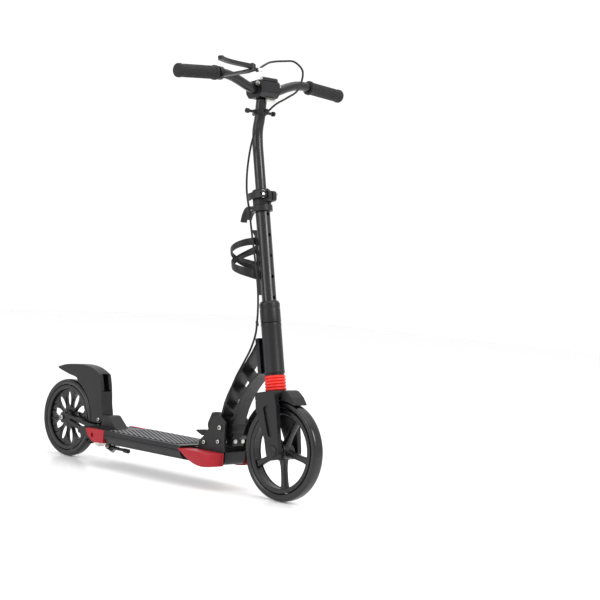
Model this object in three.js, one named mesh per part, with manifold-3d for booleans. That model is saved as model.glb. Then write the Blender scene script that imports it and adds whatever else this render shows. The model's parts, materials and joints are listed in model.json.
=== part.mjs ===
// A folding two-wheel kick scooter with a big front wheel, a sprung fork, a telescopic T-bar, a curved truss
// neck that folds down over the deck, a foot brake fender and a hand brake on the rear wheel.
// Millimetres. +X is forward, +Y is the rider's left and +Z is up. The origin lies on the ground, midway
// between the front of the front tyre and the back of the rear tyre, in the scooter's middle plane.
import * as THREE from "three";
import { mergeVertices } from "three/addons/utils/BufferGeometryUtils.js";
import Module from "manifold-3d";

const wasm = await Module();
wasm.setup();

// ---------------------------------------------------------------- driving dimensions
const wheelbase = 790;
const frontWheelRadius = 115;
const rearWheelRadius = 100;
const tyreWidth = 30;
const rearTyreWidth = 28;
const deckWidth = 150;
const deckTop = 95;
const deckThickness = 34;
const rake = THREE.MathUtils.degToRad(11.58); // the steering axis leans back by this much
const forkOffset = 9.8; // axle ahead of the steering axis
const barHalfWidth = 264; // middle plane to the end of a grip
const barRise = 679; // head tube's lower end to the handlebar's middle, along the steering axis
const stopPitch = 49; // from one stop hole to the next

const fit = 0.3; // between pieces that touch
const slack = 0.6; // between pieces that turn or slide in each other
const skin = 0.05; // how far a cutting solid runs past what it cuts

// ---------------------------------------------------------------- places worked out from them
const overallLength = wheelbase + frontWheelRadius + rearWheelRadius;
const frontAxle = new THREE.Vector2(overallLength / 2 - frontWheelRadius, frontWheelRadius);
const rearAxle = new THREE.Vector2(rearWheelRadius - overallLength / 2, rearWheelRadius);

const headTubeLength = 118;
const lowerTubeRadius = 17;
const bearingSection = 3; // from the lower tube to the head tube's bore
const headTubeWall = 4;
const headTubeBore = lowerTubeRadius + bearingSection;
const headTubeRadius = headTubeBore + headTubeWall;
const bellowsLength = 40;
const crownHeight = 17;
const crownClearance = 6.6; // between the tyre and the fork crown
const axleDrop = frontWheelRadius + crownClearance + crownHeight + bellowsLength;

const forward = new THREE.Vector2(Math.cos(rake), Math.sin(rake)); // square to the steering axis, in X and Z
const upward = new THREE.Vector2(-Math.sin(rake), Math.cos(rake)); // along the steering axis, in X and Z
const headBase = frontAxle.clone().addScaledVector(forward, -forkOffset).addScaledVector(upward, axleDrop);

const noseGap = 158.5; // front axle to the front end of the deck
const tailGap = 111.5; // rear axle to the rear end of the deck
const deckFront = frontAxle.x - noseGap;
const deckRear = rearAxle.x + tailGap;
const deckBottom = deckTop - deckThickness;
const pivot = new THREE.Vector2(deckFront - 17.4, deckTop + 53.4); // the neck folds about this line

// A point given ahead of and along the steering axis, as X and Z.
function steered(ahead, along) {
  return headBase.clone().addScaledVector(forward, ahead).addScaledVector(upward, along);
}

// ---------------------------------------------------------------- materials
function finish(color, roughness, metalness) {
  return new THREE.MeshStandardMaterial({ color, roughness, metalness });
}
const blackPaint = finish(0x1c1c1e, 0.45, 0.4);
const blackSatin = finish(0x26262a, 0.35, 0.7);
const blackPlastic = finish(0x1a1a1b, 0.6, 0);
const redPlastic = finish(0xbe2d3a, 0.45, 0);
const redRubber = finish(0xdc3a33, 0.55, 0);
const blackRubber = finish(0x141415, 0.8, 0);
const tyreRubber = finish(0x101011, 0.5, 0);
const gripTape = finish(0x35363a, 0.9, 0);
const steel = finish(0xb9bbbd, 0.3, 1);
const brass = finish(0xb6863a, 0.35, 1);

// ---------------------------------------------------------------- building tools
// The same triangles with every face turned outwards.
function facingOut(geometry) {
  const corner = geometry.attributes.position;
  const [a, b, c] = [new THREE.Vector3(), new THREE.Vector3(), new THREE.Vector3()];
  let volume = 0;
  for (let i = 0; i < geometry.index.count; i += 3) {
    a.fromBufferAttribute(corner, geometry.index.getX(i));
    b.fromBufferAttribute(corner, geometry.index.getX(i + 1));
    c.fromBufferAttribute(corner, geometry.index.getX(i + 2));
    volume += a.dot(b.cross(c));
  }
  if (volume < 0) {
    for (let i = 0; i < geometry.index.count; i += 3) {
      const second = geometry.index.getX(i + 1);
      geometry.index.setX(i + 1, geometry.index.getX(i + 2));
      geometry.index.setX(i + 2, second);
    }
  }
  return geometry;
}

function solid(geometry) {
  const bare = geometry.clone();
  bare.deleteAttribute("normal");
  bare.deleteAttribute("uv");
  const merged = facingOut(mergeVertices(bare, 1e-3));
  const vertProperties = merged.attributes.position.array;
  const triVerts = new Uint32Array(merged.index.array);
  return new wasm.Manifold(new wasm.Mesh({ numProp: 3, vertProperties, triVerts }));
}

function join(first, ...others) {
  return others.reduce((whole, other) => whole.add(other), first);
}

function cut(whole, ...tools) {
  return tools.reduce((rest, tool) => rest.subtract(tool), whole);
}

function piece(name, body, material) {
  const { numProp, vertProperties, triVerts } = body.getMesh();
  const geometry = new THREE.BufferGeometry();
  const corners = new Float32Array((vertProperties.length / numProp) * 3);
  for (let i = 0; i < corners.length / 3; i++) {
    corners.set(vertProperties.subarray(i * numProp, i * numProp + 3), i * 3);
  }
  geometry.setAttribute("position", new THREE.BufferAttribute(corners, 3));
  geometry.setIndex(new THREE.BufferAttribute(triVerts, 1));
  geometry.computeVertexNormals();
  const mesh = new THREE.Mesh(geometry, material);
  mesh.name = name;
  return mesh;
}

// Outlines: points are [across, up] pairs.
function outline(points) {
  return new THREE.Shape(points.map(([across, up]) => new THREE.Vector2(across, up)));
}

// An outline whose corners are rounded; each point is [across, up, corner radius].
function rounded(points) {
  const shape = new THREE.Shape();
  const count = points.length;
  points.forEach(([x, y, radius = 0], i) => {
    const corner = new THREE.Vector2(x, y);
    const before = new THREE.Vector2(...points[(i + count - 1) % count].slice(0, 2)).sub(corner);
    const after = new THREE.Vector2(...points[(i + 1) % count].slice(0, 2)).sub(corner);
    const turn = Math.abs(before.angleTo(after));
    const reach = Math.min(radius / Math.tan(turn / 2), before.length() / 2, after.length() / 2);
    const enter = corner.clone().addScaledVector(before.normalize(), reach);
    const leave = corner.clone().addScaledVector(after.normalize(), reach);
    if (i === 0) {
      shape.moveTo(enter.x, enter.y);
    } else {
      shape.lineTo(enter.x, enter.y);
    }
    if (reach > 0.01) {
      shape.quadraticCurveTo(corner.x, corner.y, leave.x, leave.y);
    }
  });
  shape.closePath();
  return shape;
}

function disc(radius, x = 0, y = 0) {
  return new THREE.Shape().absarc(x, y, radius, 0, 2 * Math.PI, false);
}

// A ribbon of even thickness along a flat curve of X and Z points.
function ribbon(points, thickness) {
  const left = [];
  const right = [];
  points.forEach((point, i) => {
    const before = points[Math.max(i - 1, 0)];
    const after = points[Math.min(i + 1, points.length - 1)];
    const along = after.clone().sub(before).normalize();
    const side = new THREE.Vector2(-along.y, along.x).multiplyScalar(thickness / 2);
    left.push(point.clone().add(side));
    right.unshift(point.clone().sub(side));
  });
  return new THREE.Shape([...left, ...right]);
}

// An outline in X and Z, made solid from one Y to another.
function acrossY(shape, from, to, curveSegments = 3) {
  const depth = Math.abs(to - from);
  const geometry = new THREE.ExtrudeGeometry(shape, { depth, bevelEnabled: false, curveSegments });
  geometry.rotateX(Math.PI / 2).translate(0, Math.max(from, to), 0);
  return solid(geometry);
}

// An outline in Y and Z, made solid from one X to another.
function alongX(shape, from, to, curveSegments = 3) {
  const depth = to - from;
  const geometry = new THREE.ExtrudeGeometry(shape, { depth, bevelEnabled: false, curveSegments });
  const turn = new THREE.Matrix4();
  turn.makeBasis(new THREE.Vector3(0, 1, 0), new THREE.Vector3(0, 0, 1), new THREE.Vector3(1, 0, 0));
  geometry.applyMatrix4(turn).translate(from, 0, 0);
  return solid(geometry);
}

// An outline in X and Y, made solid from one Z to another.
function upZ(shape, from, to, curveSegments = 3) {
  const depth = to - from;
  const geometry = new THREE.ExtrudeGeometry(shape, { depth, bevelEnabled: false, curveSegments });
  return solid(geometry.translate(0, 0, from));
}

// A profile of [radius, height] points turned about Z; one that doesn't touch the axis is closed on itself.
function turned(profile, segments = 24) {
  const points = profile.map(([radius, height]) => new THREE.Vector2(radius, height));
  if (profile[0][0] > 0) {
    points.push(points[0].clone());
  }
  return solid(new THREE.LatheGeometry(points, segments).rotateX(Math.PI / 2));
}

// The same, turned about a line along Y through an X and Z place.
function turnedAboutY(profile, x, z, segments = 24) {
  const points = profile.map(([radius, across]) => new THREE.Vector2(radius, across));
  if (profile[0][0] > 0) {
    points.push(points[0].clone());
  }
  return solid(new THREE.LatheGeometry(points, segments).translate(x, 0, z));
}

function rod(from, to, radius, segments = 16) {
  const start = new THREE.Vector3(...from);
  const along = new THREE.Vector3(...to).sub(start);
  const geometry = new THREE.CylinderGeometry(radius, radius, along.length(), segments);
  geometry.translate(0, along.length() / 2, 0);
  const up = new THREE.Vector3(0, 1, 0);
  geometry.applyQuaternion(new THREE.Quaternion().setFromUnitVectors(up, along.normalize()));
  return solid(geometry.translate(start.x, start.y, start.z));
}

function block([x0, x1], [y0, y1], [z0, z1]) {
  const geometry = new THREE.BoxGeometry(x1 - x0, y1 - y0, z1 - z0);
  return solid(geometry.translate((x0 + x1) / 2, (y0 + y1) / 2, (z0 + z1) / 2));
}

// A round bar along a smooth curve through the points.
function swept(points, radius, sides, steps, tension = 0.5) {
  const places = points.map((point) => new THREE.Vector3(...point));
  const extrudePath = new THREE.CatmullRomCurve3(places, false, "centripetal", tension);
  const section = new THREE.Shape();
  for (let i = 0; i < sides; i++) {
    const angle = (2 * Math.PI * i) / sides;
    const corner = [radius * Math.cos(angle), radius * Math.sin(angle)];
    if (i === 0) {
      section.moveTo(...corner);
    } else {
      section.lineTo(...corner);
    }
  }
  return solid(new THREE.ExtrudeGeometry(section, { steps, bevelEnabled: false, extrudePath }));
}

// ---------------------------------------------------------------- deck
const halfDeck = deckWidth / 2;
const frontCapLength = 112;
const rearCapLength = 121;
const boardFront = deckFront - frontCapLength;
const boardRear = deckRear + rearCapLength;
const baseHalfWidth = 33; // the blocks at each end of the deck, between the caps
const plateThickness = 5;
const plateInner = baseHalfWidth + fit;
const plateOuter = plateInner + plateThickness;
const gripHeight = 2;
const dropoutInner = 20.5; // middle plane to a rear arm
const dropoutThickness = 6.2;
const rearCapDrop = 2; // the rear caps reach this far below the board

// A hollow extrusion with rounded long edges, three chambers and two ribs.
function deckBoard() {
  const wall = 3;
  const edge = 9;
  const ribHalf = 1.5;
  const chamberRibs = 26;
  const low = deckBottom;
  const high = deckTop;
  const shell = rounded([
    [-halfDeck + 12, low, 6],
    [halfDeck - 12, low, 6],
    [halfDeck, low + 12, edge],
    [halfDeck, high, edge],
    [-halfDeck, high, edge],
    [-halfDeck, low + 12, edge],
  ]);
  const chambers = [
    [-halfDeck + wall, -chamberRibs - ribHalf],
    [-chamberRibs + ribHalf, chamberRibs - ribHalf],
    [chamberRibs + ribHalf, halfDeck - wall],
  ];
  const hollows = chambers.map(([from, to]) => {
    const outerLeft = from < -halfDeck / 2 ? 11 : 2;
    const outerRight = to > halfDeck / 2 ? 11 : 2;
    const room = outline([
      [from + outerLeft, low + wall],
      [to - outerRight, low + wall],
      [to, low + wall + outerRight],
      [to, high - wall - outerRight / 2],
      [to - outerRight / 2, high - wall],
      [from + outerLeft / 2, high - wall],
      [from, high - wall - outerLeft / 2],
      [from, low + wall + outerLeft],
    ]);
    return alongX(room, boardRear - 1, boardFront + 1);
  });
  return cut(alongX(shell, boardRear + fit, boardFront - fit, 4), ...hollows);
}

function gripSheet() {
  const margin = 11;
  const from = boardRear + margin;
  const to = boardFront - 28; // short of the pedal's tab, so that its whole face is clear
  const half = halfDeck - margin;
  const sheet = rounded([
    [from, -half, 10],
    [to, -half, 10],
    [to, half, 10],
    [from, half, 10],
  ]);
  return upZ(sheet, deckTop + fit, deckTop + gripHeight, 4);
}

// A wing-shaped plastic cap on one front corner of the deck.
function frontCap(side) {
  const inner = plateOuter + fit;
  const outer = halfDeck + 1;
  const drop = 7; // how far it reaches below the deck
  const plan = new THREE.Shape();
  plan.moveTo(boardFront + fit, side * inner);
  plan.lineTo(boardFront + fit, side * outer);
  plan.lineTo(boardFront + 30, side * outer);
  plan.bezierCurveTo(
    deckFront - 28,
    side * outer,
    deckFront + 2,
    side * (outer - 14),
    deckFront + 2,
    side * (inner + 8),
  );
  plan.lineTo(deckFront - 3, side * inner);
  const profile = rounded([
    [boardFront, deckBottom + 2],
    [boardFront + 34, deckBottom - drop, 14],
    [deckFront - 12, deckBottom - drop, 14],
    [deckFront + 4, deckBottom + 4, 14],
    [deckFront + 4, deckTop - 5, 6],
    [boardFront, deckTop - 5],
  ]);
  const body = upZ(plan, deckBottom - drop - 1, deckTop).intersect(acrossY(profile, -halfDeck - 5, halfDeck + 5));
  return body;
}

// A plastic cap on one rear corner, narrowing towards the wheel, with a deep round screw pocket.
function rearCap(side) {
  const inner = dropoutInner + dropoutThickness + fit;
  const outer = halfDeck + 1;
  const drop = rearCapDrop;
  const pocket = 7.5;
  const pocketAt = deckRear + 76;
  const plan = outline([
    [boardRear - fit, side * inner],
    [boardRear - fit, side * outer],
    [deckRear + 62, side * outer],
    [deckRear + 12, side * (outer - 17)],
    [deckRear, side * (outer - 28)],
    [deckRear, side * inner],
  ]);
  const profile = rounded([
    [deckRear - 1, deckBottom + 17, 4],
    [deckRear + 38, deckBottom + 9, 8],
    [deckRear + 62, deckBottom - drop, 10],
    [deckRear + 100, deckBottom - drop, 10],
    [boardRear, deckBottom + 2],
    [boardRear, deckTop + 1],
    [deckRear - 1, deckTop + 1, 5],
  ]);
  const body = upZ(plan, deckBottom - drop - 1, deckTop + 2).intersect(acrossY(profile, -halfDeck - 5, halfDeck + 5));
  const hole = rod([pocketAt, side * (outer - 9), deckBottom + 14], [pocketAt, side * (outer + 5), deckBottom + 14], pocket, 16);
  return cut(body, hole);
}

// ---------------------------------------------------------------- folding joint
const pivotBoltRadius = 5;
const plateBolts = [
  { name: "fold_plate_bolt_front", x: pivot.x - 2.6, z: pivot.y - 33.4 },
  { name: "fold_plate_bolt_rear", x: pivot.x - 50.6, z: pivot.y - 40.4 },
];
const plateBoltRadius = 4;
const boltHeadDepth = 4;
const footRadius = 26;
const footHalfWidth = 22;
const spacerRadius = 8;
const baseTop = deckTop - 2;
const cableHole = new THREE.Vector2(deckFront - 40, -27); // the brake cable passes down through the base block

function foldBase() {
  const sole = rounded([
    [boardFront + fit, deckBottom, 2],
    [deckFront - 6, deckBottom, 8],
    [deckFront, deckBottom + 8, 8],
    [deckFront, baseTop, 4],
    [boardFront + fit, baseTop, 2],
  ]);
  const body = acrossY(sole, -baseHalfWidth, baseHalfWidth);
  const lighten = acrossY(
    rounded([
      [boardFront + 20, deckBottom + 7, 5],
      [deckFront - 20, deckBottom + 7, 5],
      [deckFront - 20, baseTop - 7, 5],
      [boardFront + 20, baseTop - 7, 5],
    ]),
    -baseHalfWidth - 1,
    baseHalfWidth + 1,
  );
  const web = acrossY(
    outline([
      [boardFront + 18, deckBottom + 5],
      [deckFront - 18, deckBottom + 5],
      [deckFront - 18, baseTop - 5],
      [boardFront + 18, baseTop - 5],
    ]),
    -12,
    12,
  );
  const cableRoom = rod([cableHole.x, cableHole.y, deckBottom - 5], [cableHole.x, cableHole.y, deckTop + 5], 4.5, 12);
  return cut(join(cut(body, lighten), web), cableRoom);
}

// One cheek plate that carries the neck's pivot, standing up from the side of the base block.
function foldPlate(side) {
  const foot = boardFront + 6;
  const shape = rounded([
    [foot, deckBottom + 4, 4],
    [deckFront - 6, deckBottom + 4, 6],
    [deckFront - 1, deckTop + 6, 4],
    [deckFront - 1, pivot.y + 18, 12],
    [pivot.x - 6, pivot.y + 30, 12],
    [pivot.x - 26, pivot.y + 22, 8],
    [pivot.x - 46, pivot.y - 18, 12],
    [pivot.x - 70, pivot.y - 38, 10],
    [pivot.x - 74, deckBottom + 20, 6],
    [foot, deckBottom + 18, 4],
  ]);
  const plate = acrossY(shape, side * plateInner, side * plateOuter);
  const holes = plateBolts.map(({ x, z }) => acrossY(disc(plateBoltRadius + fit, x, z), -halfDeck, halfDeck, 7));
  const pivotHole = acrossY(disc(pivotBoltRadius + fit, pivot.x, pivot.y), -halfDeck, halfDeck, 8);
  const pedalHole = acrossY(disc(pedalPinRadius + fit, pedalPin.x, pedalPin.y), -halfDeck, halfDeck, 6);
  return cut(plate, pivotHole, pedalHole, ...holes);
}

// A bolt right across the joint, with a round head outside each plate.
function crossBolt(x, z, radius, headRadius) {
  const outside = plateOuter + fit;
  return turnedAboutY(
    [
      [0, -outside - boltHeadDepth],
      [headRadius - 1, -outside - boltHeadDepth],
      [headRadius, -outside - boltHeadDepth + 1],
      [headRadius, -outside],
      [radius, -outside],
      [radius, outside],
      [headRadius, outside],
      [headRadius, outside + boltHeadDepth - 1],
      [headRadius - 1, outside + boltHeadDepth],
      [0, outside + boltHeadDepth],
    ],
    x,
    z,
    12,
  );
}

// The release pedal turns on this pin, below where the neck's strips lie when they are folded.
const pedalPin = new THREE.Vector2(pivot.x - 40, pivot.y - 26);
const pedalPinRadius = 3;
const pedalWidth = 24;
const paddleInner = footHalfWidth + 0.6;

// Its nose rides just clear of the neck's round foot, and a paddle stands up beside the neck, on the left.
function foldPedal() {
  const head = rounded([
    [pedalPin.x - 16, pedalPin.y - 5, 4],
    [pedalPin.x + 7, pedalPin.y - 7, 4],
    [pedalPin.x + 12, pedalPin.y + 3, 3],
    [pedalPin.x + 6, pedalPin.y + 8, 3],
    [pedalPin.x - 16, pedalPin.y + 8, 3],
  ]);
  const tab = rounded([
    [pedalPin.x - 10, pedalPin.y + 7],
    [pedalPin.x - 10, pedalPin.y - 4],
    [pedalPin.x - 54, pedalPin.y - 4, 3],
    [pedalPin.x - 74, pedalPin.y + 4, 3],
    [pedalPin.x - 73, pedalPin.y + 7, 3],
    [pedalPin.x - 46, pedalPin.y + 10, 6],
  ]);
  const paddle = rounded([
    [pedalPin.x - 7, pedalPin.y - 7, 5],
    [pedalPin.x + 7, pedalPin.y - 7, 5],
    [pedalPin.x + 8, pedalPin.y + 6, 5],
    [pedalPin.x - 28, pedalPin.y + 46, 8],
    [pedalPin.x - 38, pedalPin.y + 53, 6],
    [pedalPin.x - 57, pedalPin.y + 50, 8],
    [pedalPin.x - 70, pedalPin.y + 22, 10],
    [pedalPin.x - 68, pedalPin.y + 9, 8],
    [pedalPin.x - 30, pedalPin.y - 2, 8],
  ]);
  const body = join(
    acrossY(head, -pedalWidth / 2, pedalWidth / 2),
    acrossY(tab, -pedalWidth / 2 + 2, pedalWidth / 2 - 2),
    acrossY(paddle, paddleInner, plateInner - slack),
  );
  const sleeve = acrossY(disc(pedalPinRadius + 3, pedalPin.x, pedalPin.y), -plateInner + slack, plateInner - slack, 5);
  const stubs = acrossY(disc(pedalPinRadius, pedalPin.x, pedalPin.y), -plateOuter, plateOuter, 4);
  return join(body, sleeve, stubs);
}

// ---------------------------------------------------------------- neck
const stripThickness = 5;
const neckHalfWidth = 20;
const flangeFront = -headTubeRadius - fit;
const flangeThickness = 11;

const frontArc = new THREE.CubicBezierCurve(
  steered(flangeFront - 2, 9),
  steered(flangeFront - 2, 9).add(new THREE.Vector2(-56, -48)),
  new THREE.Vector2(pivot.x + 15.9, pivot.y + 38),
  new THREE.Vector2(pivot.x + 20, pivot.y - 26),
);
const rearArc = new THREE.CubicBezierCurve(
  steered(flangeFront - 9, 72),
  steered(flangeFront - 9, 72).add(new THREE.Vector2(-34, -62)),
  new THREE.Vector2(pivot.x - 15, pivot.y + 92),
  new THREE.Vector2(pivot.x - 19, pivot.y + 10),
);
// Each web runs from a share of the rear arc to a share of the front arc.
const webs = [
  [0.36, 0.2],
  [0.58, 0.46],
  [0.8, 0.66],
];
const neckBoltHeight = 118 - 148.4;
const neckBoltSide = 12;
const neckBoltRadius = 3;
const neckBoltHead = 5.5;
const heelFront = pivot.x + 24;

function neckFrame() {
  const strips = [frontArc, rearArc].map((arc) => {
    return acrossY(ribbon(arc.getPoints(10), stripThickness), -neckHalfWidth, neckHalfWidth);
  });
  const bars = webs.map(([rearShare, frontShare]) => {
    const ends = [rearArc.getPoint(rearShare), frontArc.getPoint(frontShare)];
    return acrossY(ribbon(ends, stripThickness), -neckHalfWidth, neckHalfWidth);
  });
  const flangeEnds = [steered(flangeFront - flangeThickness / 2, 3), steered(flangeFront - flangeThickness / 2, 86)];
  const flange = acrossY(ribbon(flangeEnds, flangeThickness), -neckHalfWidth, neckHalfWidth);
  const foot = acrossY(disc(footRadius, pivot.x, pivot.y), -footHalfWidth, footHalfWidth, 8);
  const heel = acrossY(
    rounded([
      [pivot.x + 6, pivot.y + 4],
      [pivot.x + 6, pivot.y - 40, 3],
      [heelFront, pivot.y - 44, 5],
      [heelFront, pivot.y + 8, 4],
    ]),
    -footHalfWidth + 4,
    footHalfWidth - 4,
  );
  const spacers = acrossY(disc(spacerRadius, pivot.x, pivot.y), -plateInner + slack, plateInner - slack, 6);
  const tubeRoom = steeringSpace(headTubeRadius + 2 * fit, -10, headTubeLength + 10);
  const boltRoom = [-1, 1].map((side) => {
    const from = [heelFront - 14, side * neckBoltSide, pivot.y + neckBoltHeight];
    return rod(from, [heelFront + 5, from[1], from[2]], neckBoltRadius + fit, 12);
  });
  const pivotRoom = acrossY(disc(pivotBoltRadius + fit, pivot.x, pivot.y), -halfDeck, halfDeck, 8);
  return cut(join(...strips, ...bars, flange, foot, heel, spacers), tubeRoom, pivotRoom, ...boltRoom);
}

// A round space about the steering axis, in the scooter's frame.
function steeringSpace(radius, from, to) {
  const [low, high] = [steered(0, from), steered(0, to)];
  return rod([low.x, 0, low.y], [high.x, 0, high.y], radius, 28);
}

function neckBolt(side) {
  const y = side * neckBoltSide;
  const z = pivot.y + neckBoltHeight;
  const shank = rod([heelFront - 13, y, z], [heelFront + 1, y, z], neckBoltRadius, 12);
  const head = rod([heelFront + fit, y, z], [heelFront + 4, y, z], neckBoltHead, 6);
  return join(shank, head);
}

// ---------------------------------------------------------------- steering column, about the steering axis
const lowerTubeBore = 15;
const upperTubeRadius = 12.7;
const upperTubeBore = 10.8;
const guideBore = upperTubeRadius + slack; // the lower tube's bore above the fork's tube
const lowerTubeTop = 411;
const sleeveTop = 169;
const bearingHeight = 9;
const firstStop = 176;
const stopCount = 5;
const buttonHeight = firstStop + 2 * stopPitch;
const buttonRadius = 4;
const springSeat = 3.5;

function headTube() {
  const chamfer = 2;
  return turned([
    [headTubeBore, 0],
    [headTubeRadius - chamfer, 0],
    [headTubeRadius, chamfer],
    [headTubeRadius, headTubeLength - chamfer],
    [headTubeRadius - chamfer, headTubeLength],
    [headTubeBore, headTubeLength],
  ]);
}

function headBearing(from) {
  return turned([
    [lowerTubeRadius + fit, from],
    [headTubeBore - fit, from],
    [headTubeBore - fit, from + bearingHeight],
    [lowerTubeRadius + fit, from + bearingHeight],
  ]);
}

function steeringSleeve() {
  const low = headTubeLength + slack;
  return turned([
    [lowerTubeRadius + fit, low],
    [headTubeRadius, low],
    [headTubeRadius, sleeveTop - 5],
    [headTubeRadius - 3.5, sleeveTop],
    [lowerTubeRadius + fit, sleeveTop],
  ]);
}

function lowerStemTube() {
  const low = -fit;
  const flangeRadius = headTubeRadius - 2;
  const step = forkTubeTop + 26;
  const tube = turned([
    [lowerTubeBore, -springSeat],
    [flangeRadius, -springSeat],
    [flangeRadius, low - slack / 2],
    [lowerTubeRadius, low - slack / 2],
    [lowerTubeRadius, lowerTubeTop],
    [guideBore, lowerTubeTop],
    [guideBore, step],
    [lowerTubeBore, step],
  ]);
  const holes = [];
  for (let stop = 0; stop < stopCount; stop++) {
    const height = firstStop + stop * stopPitch;
    holes.push(rod([5, 0, height], [lowerTubeRadius + 5, 0, height], buttonRadius + fit, 12));
  }
  return cut(tube, ...holes);
}

// The spring button stands pressed in, just inside the upper tube, and springs out into a stop hole.
function snapButton() {
  return rod([upperTubeRadius - 6, 0, buttonHeight], [upperTubeRadius - 0.4, 0, buttonHeight], buttonRadius, 12);
}

const collarBottom = 394;
const collarTop = 432;
const collarRadius = 21.5;
const earReach = 37;
const earHalf = 8;
const skewerAhead = 28;
const skewerHeight = 416;
const skewerRadius = 3;
const camRadius = 8;
const camAcross = -(earHalf + 5 + slack + camRadius); // the lever's hinge, on the rider's right of the ears
const leverHalf = 7.5; // half the lever's height

function clampCollar() {
  const body = turned([
    [0, collarBottom],
    [collarRadius, collarBottom],
    [collarRadius, collarTop - 3],
    [collarRadius - 3, collarTop],
    [0, collarTop],
  ]);
  const ears = acrossY(
    rounded([
      [0, collarBottom + 4],
      [earReach, collarBottom + 6, 8],
      [earReach, collarTop - 8, 8],
      [0, collarTop - 5],
    ]),
    -earHalf - 5,
    earHalf + 5,
  );
  const tubeRoom = cut(
    rod([0, 0, collarBottom - 5], [0, 0, collarTop + 5], lowerTubeRadius + 2 * fit, 20),
    block([-50, 50], [-50, 50], [lowerTubeTop + 1.5, collarTop + 10]),
  );
  const upperRoom = rod([0, 0, collarBottom - 5], [0, 0, collarTop + 5], upperTubeRadius + slack, 20);
  const split = block([0, earReach + 5], [-1.5, 1.5], [collarBottom - 5, collarTop + 5]);
  const bore = acrossY(disc(skewerRadius + fit, skewerAhead, skewerHeight), -50, 50, 4);
  return cut(join(body, ears), tubeRoom, upperRoom, split, bore);
}

// A bolt across the ears, with a nut on the left and the lever's upright hinge pin on the right.
function clampSkewer() {
  const nut = earHalf + 5 + fit;
  const bolt = turnedAboutY(
    [
      [0, camAcross],
      [skewerRadius, camAcross],
      [skewerRadius, nut],
      [6.5, nut],
      [6, nut + 7],
      [0, nut + 8],
    ],
    skewerAhead,
    skewerHeight,
    16,
  );
  const low = [skewerAhead, camAcross, skewerHeight - leverHalf - 1.5];
  const high = [skewerAhead, camAcross, skewerHeight + leverHalf + 1.5];
  return join(bolt, rod(low, high, skewerRadius, 12));
}

// The quick release lever: a forked cam on the hinge pin and a handle that wraps the collar's right side.
function clampLever() {
  const low = skewerHeight - leverHalf;
  const high = skewerHeight + leverHalf;
  const cam = upZ(disc(camRadius, skewerAhead, camAcross), low, high, 8);
  const wrap = new THREE.CubicBezierCurve(
    new THREE.Vector2(skewerAhead - 3, camAcross - 3),
    new THREE.Vector2(skewerAhead - 20, camAcross - 9.5),
    new THREE.Vector2(-8, camAcross - 8),
    new THREE.Vector2(-21, camAcross + 1),
  );
  const handle = upZ(ribbon(wrap.getPoints(10), 6.5), low, high);
  const end = upZ(disc(3.6, -21, camAcross + 1), low, high, 4);
  const bore = upZ(disc(skewerRadius + fit, skewerAhead, camAcross), low - 5, high + 5, 4);
  const boltReach = skewerRadius + slack;
  const boltRoom = block(
    [skewerAhead - boltReach, skewerAhead + camRadius + 5],
    [camAcross - camRadius - 5, camAcross + camRadius + 5],
    [skewerHeight - boltReach, skewerHeight + boltReach],
  );
  return cut(join(cut(join(cam, handle, end), boltRoom)), bore);
}

// The plastic hook behind the clamp that catches the rear fender when the scooter is folded.
const hookBand = 24;
function foldHook() {
  const bandLow = collarBottom - 14;
  const bandHigh = collarBottom - slack;
  const band = rod([0, 0, bandLow], [0, 0, bandHigh], hookBand, 24);
  const arm = acrossY(
    ribbon(
      new THREE.CubicBezierCurve(
        new THREE.Vector2(-lowerTubeRadius - 3, bandHigh - 6),
        new THREE.Vector2(-44, bandHigh + 14),
        new THREE.Vector2(-58, bandHigh - 4),
        new THREE.Vector2(-66, bandHigh - 28),
      ).getPoints(10),
      6,
    ),
    -8,
    8,
  );
  const prong = acrossY(
    ribbon(
      new THREE.QuadraticBezierCurve(
        new THREE.Vector2(-lowerTubeRadius - 4, bandLow + 7),
        new THREE.Vector2(-40, bandLow + 6),
        new THREE.Vector2(-46, bandLow - 12),
      ).getPoints(8),
      5,
    ),
    -6,
    6,
  );
  const tubeRoom = rod([0, 0, bandLow - 5], [0, 0, bandHigh + 5], lowerTubeRadius + 2 * fit, 20);
  return cut(join(band, arm, prong), tubeRoom);
}

const cageLow = 190;
const cageHigh = 340;
const bottleRadius = 37;

// The plastic bottle cage: a spine clipped on the tube's back and two open triangular loops round the bottle.
function bottleCage() {
  const spineBack = -lowerTubeRadius - 9;
  const spine = acrossY(
    rounded([
      [-lowerTubeRadius + 4, cageLow + 6, 4],
      [-lowerTubeRadius + 4, cageHigh, 4],
      [spineBack, cageHigh, 4],
      [spineBack - 4, cageLow, 6],
      [-lowerTubeRadius - 2, cageLow - 4, 4],
    ]),
    -9,
    9,
  );
  const far = spineBack - 2 * bottleRadius - 1;
  const band = 5;
  // one loop seen from the side: two arms that meet in a rounded V at the far side of the bottle
  const arms = [
    [
      new THREE.Vector2(spineBack + 2, 318),
      new THREE.Vector2(far, 297),
    ],
    [
      new THREE.Vector2(spineBack + 2, 246),
      new THREE.Vector2(far, 275),
    ],
  ];
  const tip = [new THREE.Vector2(far, 299), new THREE.Vector2(far, 273)];
  const sides = [-1, 1].flatMap((side) => {
    return arms.map((ends) => {
      return acrossY(ribbon(ends, 9), side * bottleRadius, side * (bottleRadius + band));
    });
  });
  const bows = arms.map((ends, i) => {
    const height = ends[0].y;
    return block([spineBack - 3, spineBack + 2], [-bottleRadius - band, bottleRadius + band], [height - 5, height + 5]);
  });
  const end = acrossY(ribbon(tip, 7), -bottleRadius - band, bottleRadius + band);
  const shelf = block([spineBack - 34, spineBack + 2], [-8, 8], [cageLow - 2, cageLow + 4]);
  const tubeRoom = rod([0, 0, cageLow - 20], [0, 0, cageHigh + 20], lowerTubeRadius + 2 * fit, 24);
  return cut(join(spine, ...sides, ...bows, end, shelf), tubeRoom);
}

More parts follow.
